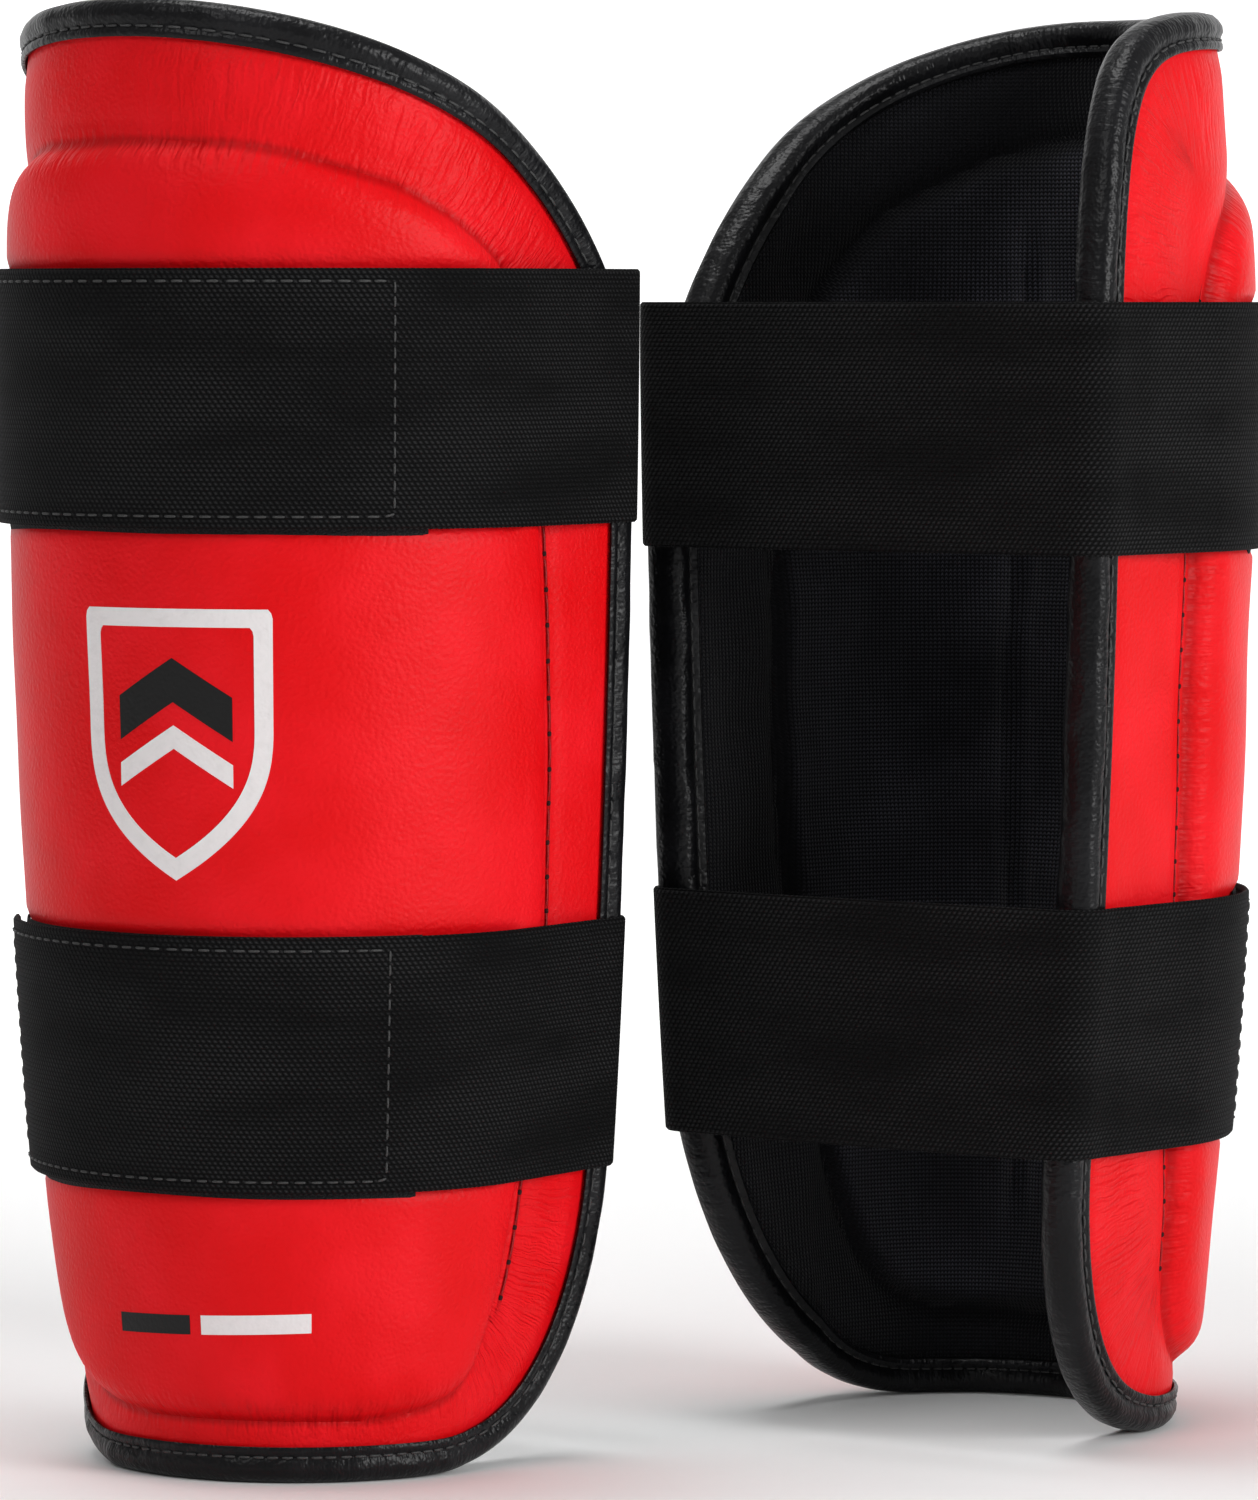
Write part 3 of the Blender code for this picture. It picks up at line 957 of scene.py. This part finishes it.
@dataclass
class Shell:
    """The padded red shell of a guard: cover, pad foam and base foam as one sewn piece."""

    sheet: Sheet
    relief: Relief
    inset: float = 0.0018
    back: float = -0.0042

    def build(self) -> bpy.types.Object:
        """Make the closed shell."""
        s, z = self.sheet.grid(SHELL_COLUMNS, SHELL_ROWS, self.inset)
        depth, maps = self.relief.cover(s, z)
        maps["sheet"] = np.stack([s, z], -1)
        lattice = skin_lattice(self.sheet.world(s, z, depth), self.sheet.world(s, z, self.back), maps)
        made = tube(f"{self.sheet.plan.name}_shell", lattice)
        low, high = 0.035, 0.235
        near_top = bell(z - high, 0.030) * smooth(0.035, 0.075, s)
        near_foot = bell(z - low, 0.034) * smooth(0.060, 0.085, np.abs(s))
        over_top = 0.5 * bell(z - 0.272, 0.014) * smooth(-0.02, 0.03, s)
        crumple = np.clip(near_top + near_foot + over_top, 0.0, 1.0)
        add_numbers(made, "crumple", np.concatenate([crumple, crumple[:, ::-1]], axis=1))
        return made

    def dress(self, made: bpy.types.Object, looks: Looks) -> None:
        """Give the shell its leather and tie it to the frame."""
        name = self.sheet.plan.name
        dress(made, looks.red, "red_leather", f"{name}_guard",
              f"{name}_cover", f"{name}_front_pad", f"{name}_base_foam")


@dataclass
class Lining:
    """The cushioned knit lining of a guard."""

    sheet: Sheet
    relief: Relief
    inset: float = 0.0018

    def build(self) -> bpy.types.Object:
        """Make the closed lining."""
        s, z = self.sheet.grid(LINING_COLUMNS, LINING_ROWS, self.inset)
        rise, cushion = self.relief.lining(s, z)
        face = self.sheet.world(s, z, LINING_BASE - rise)
        made = tube(f"{self.sheet.plan.name}_inner_lining",
                    skin_lattice(self.sheet.world(s, z, LINING_TOP), face, {"sheet": np.stack([s, z], -1)}))
        # this share paints the knit's sheen over the cushion and its shade in the cushion's groove
        add_numbers(made, "cushion", np.concatenate([cushion, cushion[:, ::-1]], axis=1))
        return made

    def dress(self, made: bpy.types.Object, looks: Looks) -> None:
        """Give the lining its knit and tie it to the frame."""
        name = self.sheet.plan.name
        dress(made, looks.knit, "lining_knit", f"{name}_guard", f"{name}_lining", f"{name}_calf_cushion")


# The binding's section: distance in from the edge, and depth.
BINDING_SECTION = (
    (0.0066, 0.0003), (0.0073, 0.0006), (0.0074, 0.0011), (0.0069, 0.0014), (0.0061, 0.0014),
    (0.0053, 0.0009), (0.0046, 0.0011), (0.0036, 0.0015), (0.0024, 0.0015), (0.0012, 0.0010),
    (0.0003, 0.0001), (-0.0001, -0.0016), (-0.0001, -0.0034), (0.0003, -0.0052), (0.0012, -0.0066),
    (0.0024, -0.0073), (0.0036, -0.0073), (0.0045, -0.0069), (0.0051, -0.0066), (0.0057, -0.0072),
    (0.0064, -0.0076), (0.0071, -0.0073), (0.0074, -0.0066), (0.0070, -0.0058), (0.0060, -0.0054),
    (0.0040, -0.0053), (0.0022, -0.0048), (0.0019, -0.0026), (0.0022, -0.0004), (0.0040, 0.0002),
)
STITCH_LINE = 0.0053


@dataclass
class Binding:
    """The folded leather strip round a guard's whole edge, with its stitching."""

    sheet: Sheet
    relief: Relief

    def build(self) -> bpy.types.Object:
        """Sweep the section round the edge, with soft puckers where it is sewn."""
        line = self.relief.outline
        normal = frame_of(line)[1]
        count = len(line)
        around = np.arange(count + 1) * LINE_STEP
        section = np.array(BINDING_SECTION)
        run = around[:count, None]
        pull = 0.5 + 0.5 * np.sin(2.0 * math.pi * run / 0.0036)
        swell = ripple(run, section[None, :, 0], 31, waves=14, short=0.007, long=0.04)
        middle = (section[:, 1].max() + section[:, 1].min()) / 2
        fat = bell(section[:, 0] - 0.0030, 0.0018) * 0.00014
        tuck = bell(section[:, 0] - STITCH_LINE, 0.0009) * 0.00014
        away = np.sign(section[:, 1] - middle) * (fat * swell - tuck * pull)
        s = line[:, 0][:, None] + normal[:, 0][:, None] * section[None, :, 0]
        z = line[:, 1][:, None] + normal[:, 1][:, None] * section[None, :, 0]
        rings = self.sheet.world(s, z, section[None, :, 1] + away)
        across = run_of(np.vstack([section, section[:1]]))
        maps = {"edge": np.stack(np.meshgrid(around, across, indexing="ij"), -1)}
        return tube(f"{self.sheet.plan.name}_binding", Lattice(rings, maps, closed=True))

    def dress(self, made: bpy.types.Object, looks: Looks) -> None:
        """Give the binding its leather and tie it to the frame."""
        name = self.sheet.plan.name
        dress(made, looks.black, "black_leather", f"{name}_guard", f"{name}_edge_binding")


# ---------------------------------------------------------------- stitching

@dataclass(frozen=True)
class Stitch:
    """The size of one stitch: its pitch, its length, its radius and how far its ends dive."""

    pitch: float
    length: float
    radius: float
    dive: float = 0.6
    shift: float = 0.0

    def row(self, name: str, sheet: Sheet, line: Array, depth: Callable[[Array, Array], Array],
            closed: bool = False) -> bpy.types.Object:
        """Lay stitches along a line of the sheet.

        Args:
            name: The object's name.
            sheet: The sheet that the line is on.
            line: (n, 2) points as s and z.
            depth: The surface's depth at s and z.
            closed: Whether the line closes.

        Returns:
            One object with every stitch.
        """
        fine = resample(line, 0.0005, closed)
        if closed:
            fine = np.vstack([fine, fine[:1]])
        lengths = run_of(fine)
        middles = np.arange(self.pitch * (0.5 + self.shift), lengths[-1] - self.length / 2, self.pitch)

        def at(run: Array) -> tuple[Array, Array]:
            """s and z at a run along the line."""
            return np.interp(run, lengths, fine[:, 0]), np.interp(run, lengths, fine[:, 1])

        uneven = np.random.default_rng(len(middles)).normal(0.0, 0.05, len(middles)) * self.pitch
        middles = middles + uneven
        s, z = at(middles)
        under = depth(s, z)
        centre = sheet.world(s, z, under)
        up = sheet.world(s, z, under + 0.001) - centre
        up /= np.linalg.norm(up, axis=1)[:, None]
        ends = []
        for sign in (-1.0, 1.0):
            es, ez = at(middles + sign * self.length / 2)
            ends.append(sheet.world(es, ez, depth(es, ez)))
        along = ends[1] - ends[0]
        side = np.cross(along, up)
        side /= np.linalg.norm(side, axis=1)[:, None]
        share = np.array([-0.5, -0.44, -0.22, 0.0, 0.22, 0.44, 0.5])
        girth = np.array([0.45, 0.85, 1.0, 1.0, 1.0, 0.85, 0.45])
        lift = self.dive * (1.0 - (share * 2.0) ** 2) - 0.25
        turn = np.linspace(0.0, 2.0 * math.pi, 8, endpoint=False)
        y = girth[:, None] * np.cos(turn)[None, :] * self.radius
        h = (girth[:, None] * np.sin(turn)[None, :] + lift[:, None]) * self.radius
        middle = (ends[0] + ends[1]) / 2
        rings = (middle[:, None, None] + along[:, None, None] * share[None, :, None, None]
                 + side[:, None, None] * y[None, :, :, None] + up[:, None, None] * h[None, :, :, None])
        quads = Lattice(rings[0], {}).faces()[0]
        each = rings.shape[1] * rings.shape[2]
        quads = (quads[None] + (np.arange(len(rings)) * each)[:, None, None]).reshape(-1, 4)
        return make_object(name, rings.reshape(-1, 3), quads, {}, math.radians(80.0))


EDGE_STITCH = Stitch(pitch=0.0036, length=0.0027, radius=0.00028)
# dark marks at the needle holes, standing in for the shade inside each hole
SEAM_HOLE = Stitch(pitch=0.0070, length=0.0010, radius=0.00050, dive=0.1)
SEAM_THREAD = Stitch(pitch=0.0070, length=0.0056, radius=0.00022, dive=0.9, shift=0.5)
STRAP_STITCH = Stitch(pitch=0.0032, length=0.0021, radius=0.00024)


@dataclass
class Sewing:
    """The stitches of a guard's binding and side seams."""

    sheet: Sheet
    relief: Relief

    def build_edge(self, looks: Looks) -> None:
        """Sew both faces of the binding."""
        name = self.sheet.plan.name
        line = self.relief.outline + frame_of(self.relief.outline)[1] * STITCH_LINE
        for face, depth in (("outer", 0.0010), ("inner", -0.0067)):
            made = EDGE_STITCH.row(f"{name}_edge_stitches_{face}", self.sheet, line,
                                   lambda s, z, level=depth: np.full(s.shape, level), closed=True)
            dress(made, looks.black_thread, "black_leather", f"{name}_guard")

    def build_seam(self, looks: Looks) -> None:
        """Sew the two sides of the pad along its crease."""
        name = self.sheet.plan.name
        pad = self.relief.pad + frame_of(self.relief.pad)[1] * SEAM_OFFSET
        for word, sign in (("outer", 1.0), ("inner", -1.0)):
            side = pad[(pad[:, 0] * sign > 0.035) & (pad[:, 1] > 0.030) & (pad[:, 1] < 0.231)]
            side = side[np.argsort(side[:, 1])]

            def depth(s: Array, z: Array) -> Array:
                """The cover's own depth."""
                return self.relief.cover(s, z)[0]

            for kind, stitch, look in (("hole_shades", SEAM_HOLE, looks.hole_shade),
                                       ("thread", SEAM_THREAD, looks.red_thread)):
                made = stitch.row(f"{name}_seam_{kind}_{word}", self.sheet, side, depth)
                dress(made, look, "red_leather", f"{name}_guard")


# ---------------------------------------------------------------- straps

def strap_floor(s: Array) -> Array:
    """Depth of the strap's inner face: over the patches on the pad, then straight to the wing's edge."""
    reach = smooth(PATCH_END, FLOOR_REACH, np.abs(s))
    on_pad = PAD_FACE + PATCH_STACK
    line = np.clip((np.abs(s) - FLOOR_LINE[0]) / (FLOOR_LINE[1] - FLOOR_LINE[0]), 0.0, 1.0)
    drop = FLOOR_SOFT * reach + (1.0 - FLOOR_SOFT) * line
    return on_pad + (STRAP_ON_WING - on_pad) * drop


@dataclass
class Strap:
    """One elastic strap: sewn anchor, band across the back, and the tab that closes on the front."""

    sheet: Sheet
    level: str
    bend: float = 0.0085
    rows: int = 46
    crowding: float = 1.25
    thin_edge: float = 0.38
    thin_end: float = 0.4
    end_round: float = 0.0008
    stitch_inset: float = 0.0025

    @property
    def centre(self) -> float:
        """The strap's middle height."""
        return self.sheet.plan.straps[self.level]

    def corner(self, sign: float, z: Array) -> Array:
        """The strap's outer face at a wing's edge, where its two directions would meet."""
        point = self.sheet.local(np.full(np.shape(z), sign * CORNER_S), z, STRAP_ON_WING + STRAP_THICK)
        return point + np.array([0.0, STRAP_THICK, 0.0])

    def turn(self, sign: float, z: Array, steps: int) -> Array:
        """The rounded bend at a wing's edge, from the wing to the band, as (steps, rows, 3)."""
        tip = self.corner(sign, z)
        along = np.array([sign * math.sin(WING_FLARE), math.cos(WING_FLARE), 0.0])
        start, end = tip - along * self.bend, tip - np.array([sign * self.bend, 0.0, 0.0])
        t = np.linspace(0.0, 1.0, steps)[:, None, None]
        return (1.0 - t) ** 2 * start + 2.0 * t * (1.0 - t) * tip + t ** 2 * end

    def on_wing(self, sign: float, stop: float, z: Array, spacing: float = 0.0016) -> Array:
        """The outer face over a wing and on to the front, from s = stop to the bend."""
        last = CORNER_S - self.bend
        count = int((last - stop) / spacing)
        s = np.linspace(stop, last, count)[:-1, None]
        floor = strap_floor(s) if sign > 0 else np.full(s.shape, STRAP_ON_WING)
        settle = smooth(CORNER_S - 0.016, last, s)
        depth = floor * (1.0 - settle) + STRAP_ON_WING * settle + STRAP_THICK
        return self.sheet.local(sign * s, z[None, :], depth)

    def piece(self, name: str, path: Array, offsets: Array, start: float,
              hem: tuple[bool, bool]) -> bpy.types.Object:
        """Close the strap's section round a path of its outer face.

        Args:
            name: The object's name.
            path: (stations, rows, 3) points of the outer face in the guard's frame.
            offsets: The rows' heights from the strap's middle.
            start: Where the weave starts along the strap.
            hem: Whether the first and last ends are cut ends that are rounded off.

        Returns:
            The strap's object.
        """
        ahead = np.gradient(path, axis=0)
        normal = np.stack([ahead[..., 1], -ahead[..., 0], np.zeros(ahead.shape[:2])], -1)
        normal /= np.linalg.norm(normal, axis=-1, keepdims=True)
        run = run_of(path[:, self.rows // 2])
        edge = np.clip((STRAP_WIDTH / 2 - np.abs(offsets)) / STRAP_ROUND, 0.0, 1.0)
        thin = self.thin_edge + (1.0 - self.thin_edge) * np.sqrt(1.0 - (1.0 - edge) ** 2)
        ends = np.ones(len(run))
        for cut, away in zip(hem, (run, run[-1] - run)):
            if cut:
                near = np.clip(away / self.end_round, 0.0, 1.0)
                ends = np.minimum(ends, self.thin_end + (1.0 - self.thin_end) * near)
        half = (STRAP_THICK / 2) * thin[None, :] * ends[:, None]
        middle = path - normal * (STRAP_THICK / 2)
        outer, inner = middle + normal * half[..., None], middle - normal * half[..., None]
        weave = np.stack(np.meshgrid(start + run, offsets, indexing="ij"), -1)
        lattice = skin_lattice(self.sheet.settle(outer), self.sheet.settle(inner), {"weave": weave})
        return tube(name, lattice)

    def build(self, looks: Looks) -> None:
        """Make the strap's two pieces, which meet in the middle of the band."""
        name = f"{self.sheet.plan.name}_{self.level}"
        guard, band, tab = f"{self.sheet.plan.name}_guard", f"{name}_band", f"{name}_tab"
        width = STRAP_WIDTH / 2
        spread = np.sin(np.linspace(-1.0, 1.0, self.rows) * self.crowding)
        offsets = width * spread / math.sin(self.crowding)
        z = self.centre + offsets
        outer_turn, inner_turn = self.turn(1.0, z, 14), self.turn(-1.0, z, 14)
        a, b = outer_turn[-1], inner_turn[-1]
        share = np.linspace(0.0, 1.0, 61)[:, None, None]
        sag = np.sin(share * math.pi) * np.array([0.0, BAND_SAG, 0.0])
        across = a + (b - a) * share + sag
        wing = self.on_wing(1.0, -STRAP_END, z)
        anchor = self.on_wing(-1.0, CORNER_S - ANCHOR_LENGTH, z)
        fro = np.concatenate([wing, outer_turn, across[1:31]])
        back = np.concatenate([across[30:-1], inner_turn[::-1], anchor[::-1]])
        length = float(np.linalg.norm(np.diff(fro[:, self.rows // 2], axis=0), axis=1).sum())
        front = self.piece(f"{name}_strap_front", fro, offsets, 0.0, (True, False))
        rear = self.piece(f"{name}_strap_back", back, offsets, length, (False, True))
        dress(front, looks.elastic, "elastic", "", f"{name}_strap_tab", f"{name}_strap_band")
        dress(rear, looks.elastic, "elastic", "", f"{name}_strap_anchor")
        y = float(self.corner(1.0, np.array([self.centre]))[0, 1]) - STRAP_THICK
        outer_hinge = self.hinge(1.0, y)
        inner_hinge = self.hinge(-1.0, y)
        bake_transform(front)
        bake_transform(rear)
        self.patches(looks, name, guard, tab)
        self.sew(looks, name, guard, tab)

    def hinge(self, sign: float, y: float) -> tuple[tuple, tuple]:
        """Two world points across a bend: level with the band, and a little along the wing."""
        x = float(self.corner(sign, np.array([self.centre]))[0, 0])
        ends = self.sheet.settle(np.array([[x, y, self.centre], [x, y - HINGE_RUN, self.centre]]))
        return tuple(map(float, ends[0])), tuple(map(float, ends[1]))

    def patches(self, looks: Looks, name: str, guard: str, tab: str) -> None:
        """Make the loop patch on the pad and the hook patch under the strap's end."""
        for kind, base, drop, trim, body, look in (
            ("loop", 0.0, LOOP_MARGIN, 0.0, guard, looks.loop),
            ("hook", PATCH_THICK + 0.0002, 0.0, LOOP_MARGIN, tab, looks.hook),
        ):
            s = np.linspace(-STRAP_END, PATCH_END, 90)[:, None]
            low, high = -STRAP_WIDTH / 2 - drop + trim, STRAP_WIDTH / 2 - trim
            v = np.linspace(low, high, 34)
            edge = np.clip(np.minimum(v - low, high - v) / 0.0004, 0.0, 1.0)
            end = np.clip(np.minimum(s + STRAP_END, PATCH_END - s) / 0.0005, 0.0, 1.0)
            half = PATCH_THICK / 2 * (0.4 + 0.6 * edge[None, :]) * (0.4 + 0.6 * end)
            middle = PAD_FACE + base + PATCH_THICK / 2
            z = self.centre + v[None, :]
            weave = np.stack(np.broadcast_arrays(s, v[None, :]), -1)
            outer, inner = self.sheet.world(s, z, middle + half), self.sheet.world(s, z, middle - half)
            lattice = skin_lattice(outer, inner, {"weave": weave})
            made = tube(f"{name}_{kind}_tape", lattice)
            dress(made, look, f"{kind}_tape", body, f"{name}_{kind}_patch")

    def sew(self, looks: Looks, name: str, guard: str, tab: str) -> None:
        """Sew the hook end down round its edge, and the anchor to the wing."""
        middle = self.centre
        inset = STRAP_WIDTH / 2 - self.stitch_inset

        def on_front(s: Array, z: Array) -> Array:
            """The strap's outer face over the front."""
            return strap_floor(s) + STRAP_THICK

        def on_anchor(s: Array, z: Array) -> Array:
            """The anchor's outer face."""
            return np.full(s.shape, STRAP_ON_WING + STRAP_THICK)

        def box(left: float, right: float) -> Array:
            """A rectangle of stitching."""
            return np.array([[left, middle - inset], [right, middle - inset], [right, middle + inset],
                             [left, middle + inset]])

        front = STRAP_STITCH.row(f"{name}_end_stitches", self.sheet, box(-STRAP_END + 0.003, 0.0545),
                                 on_front, closed=True)
        dress(front, looks.black_thread, "elastic", tab)
        start = -(CORNER_S - ANCHOR_LENGTH) - 0.003
        anchor = STRAP_STITCH.row(f"{name}_anchor_stitches", self.sheet, box(start - 0.020, start),
                                  on_anchor, closed=True)
        dress(anchor, looks.black_thread, "elastic", guard)


# ---------------------------------------------------------------- the printed mark

@dataclass
class Mark:
    """A plain printed shield with two chevrons, and two plain bars, on the left guard's pad."""

    sheet: Sheet
    relief: Relief
    centre: tuple[float, float] = (0.0143, 0.1487)
    lift: float = 0.00013
    sink: float = 0.00025
    shield_size: tuple[float, float, float] = (0.0190, 0.0225, 0.0300)
    shield_inner: tuple[float, float] = (0.82, 0.85)
    chevron_half: float = 0.0115
    chevron_rise: float = 0.0075
    bar_level: float = 0.0318
    bar_slope: float = 0.03
    bar_half: float = 0.0019

    def band(self, name: str, upper: Array, lower: Array, closed: bool) -> bpy.types.Object:
        """A thin printed band between two lines of s and z."""
        corners = []
        for line, offset in ((upper, -self.sink), (upper, self.lift),
                             (lower, self.lift), (lower, -self.sink)):
            depth = self.relief.cover(line[:, 0], line[:, 1])[0] + offset
            corners.append(self.sheet.world(line[:, 0], line[:, 1], depth))
        flat = np.stack([upper, upper, lower, lower], axis=1)
        return tube(name, Lattice(np.stack(corners, axis=1), {"sheet": flat}, closed), math.radians(30.0))

    def shield(self, half: float, top: float, foot: float) -> Array:
        """A shield's outline about the mark's centre, with a flat top and a pointed foot."""
        t = np.linspace(0.0, 1.0, 40)
        side = np.stack([half * (1.0 - t ** 2.6), -foot * t], 1)
        right = np.vstack([[[half * 0.55, top]], [[half * 0.97, top]], [[half, top * 0.94]], side])
        left = right[::-1][1:] * [-1.0, 1.0]
        return resample(np.vstack([right, left]), 0.0011, True) + np.array(self.centre)

    def build(self, looks: Looks) -> None:
        """Print the shield, the chevrons and the bars."""
        body = f"{self.sheet.plan.name}_guard"
        name = self.sheet.plan.name
        outer = self.shield(*self.shield_size)
        middle = np.array([self.centre[0], self.centre[1] - 0.001])
        inner = middle + (outer - middle) * self.shield_inner
        pieces = [(self.band(f"{name}_mark_frame", outer, inner, True), looks.white_ink)]
        run = np.linspace(-1.0, 1.0, 41)
        for word, level, tall, look in (("upper", 0.0085, 0.0085, looks.black_ink),
                                        ("lower", -0.0045, 0.0045, looks.white_ink)):
            s = self.centre[0] + run * self.chevron_half
            z = self.centre[1] + level + self.chevron_rise * (1.0 - np.abs(run)) - 0.003
            top, foot = np.stack([s, z], 1), np.stack([s, z - tall], 1)
            pieces.append((self.band(f"{name}_mark_chevron_{word}", top, foot, False), look))
        for word, left, right, look in (("dark", -0.0045, 0.0137, looks.black_ink),
                                        ("pale", 0.0163, 0.0401, looks.white_ink)):
            s = np.linspace(left, right, 24)
            slope = self.bar_level + self.bar_slope * (s - 0.016)
            top, foot = (np.stack([s, slope + side * self.bar_half], 1) for side in (1.0, -1.0))
            pieces.append((self.band(f"{name}_mark_bar_{word}", top, foot, False), look))
        for made, look in pieces:
            dress(made, look, "red_leather", body)


# ---------------------------------------------------------------- one guard

@dataclass
class GuardModel:
    """Every visible piece of one guard."""

    plan: GuardPlan
    looks: Looks

    def build(self) -> None:
        """Make and dress the guard's pieces."""
        sheet = Sheet(self.plan)
        relief = Relief(sheet)
        for part in (Shell(sheet, relief), Lining(sheet, relief), Binding(sheet, relief)):
            part.dress(part.build(), self.looks)
        sewing = Sewing(sheet, relief)
        sewing.build_edge(self.looks)
        sewing.build_seam(self.looks)
        for level in self.plan.straps:
            Strap(sheet, level).build(self.looks)
        if self.plan.side is Side.LEFT:
            Mark(sheet, relief).build(self.looks)
        LOG.info("%s guard built", self.plan.name)


# ---------------------------------------------------------------- studio

@dataclass(frozen=True)
class SoftBox:
    """A soft area light."""

    name: str
    place: tuple[float, float, float]
    size: float
    power: float

    def build(self, target: tuple[float, float, float]) -> None:
        """Hang the light and aim it."""
        lamp = bpy.data.lights.new(self.name, "AREA")
        lamp.shape = "DISK"
        lamp.size = self.size
        lamp.energy = self.power
        made = bpy.data.objects.new(self.name, lamp)
        made.location = self.place
        aim(made, target)
        bpy.context.scene.collection.objects.link(made)


def aim(made: bpy.types.Object, target: tuple[float, float, float]) -> None:
    """Turn an object's -Z to a point."""
    away = made.location.copy()
    for axis in range(3):
        away[axis] -= target[axis]
    made.rotation_euler = away.to_track_quat("Z", "Y").to_euler()


@dataclass(frozen=True)
class Studio:
    """Camera, floor, backdrop and lights."""

    eye: tuple[float, float, float] = (-0.002228, -1.522396, 0.230)
    pitch: float = math.radians(3.402)
    lens: float = 180.9
    target: tuple[float, float, float] = (0.0, 0.0, 0.15)
    world: float = 0.30
    boxes: tuple[SoftBox, ...] = (
        SoftBox("key", (-0.9, -1.3, 1.35), 0.7, 6.0),
        SoftBox("fill", (1.65, -1.20, 0.7), 1.0, 29.0),
        SoftBox("top", (-0.2, 0.1, 1.6), 0.8, 11.0),
    )

    def build(self, looks: Looks) -> None:
        """Set the studio up."""
        self.build_camera()
        self.build_floor(looks)
        for box in self.boxes:
            box.build(self.target)
        world = bpy.data.worlds.new("studio")
        bpy.context.scene.world = world
        world.use_nodes = True
        background = world.node_tree.nodes["Background"]
        background.inputs["Color"].default_value = (1.0, 1.0, 1.0, 1.0)
        background.inputs["Strength"].default_value = self.world
        bpy.context.scene.view_settings.view_transform = "Standard"

    def build_camera(self) -> None:
        """Set the camera up."""
        camera = bpy.data.cameras.new("camera")
        camera.lens = self.lens
        camera.clip_start = 0.05
        made = bpy.data.objects.new("camera", camera)
        made.location = self.eye
        made.rotation_euler = (math.pi / 2 - self.pitch, 0.0, 0.0)
        bpy.context.scene.collection.objects.link(made)
        bpy.context.scene.camera = made

    def build_floor(self, looks: Looks) -> None:
        """Make the floor, which sweeps up into a backdrop far behind."""
        turn = np.linspace(0.0, math.pi / 2, 24)
        y = np.concatenate([[-6.0], 6.0 + 2.0 * np.sin(turn), [8.0]])
        z = np.concatenate([[0.0], 2.0 - 2.0 * np.cos(turn), [6.0]])
        x = np.linspace(-8.0, 8.0, 9)
        upper = np.stack(np.broadcast_arrays(x[None, :], y[:, None], z[:, None]), -1)
        lower = upper + np.array([0.0, 0.02, -0.02])
        made = tube("floor", skin_lattice(upper, lower, {}))
        made.data.materials.append(looks.paper)


def main() -> None:
    """Build the whole scene."""
    logging.basicConfig(level=logging.INFO)
    looks = Looks()
    Studio().build(looks)
    for plan in PLANS:
        GuardModel(plan, looks).build()


if __name__ == "__main__":
    main()
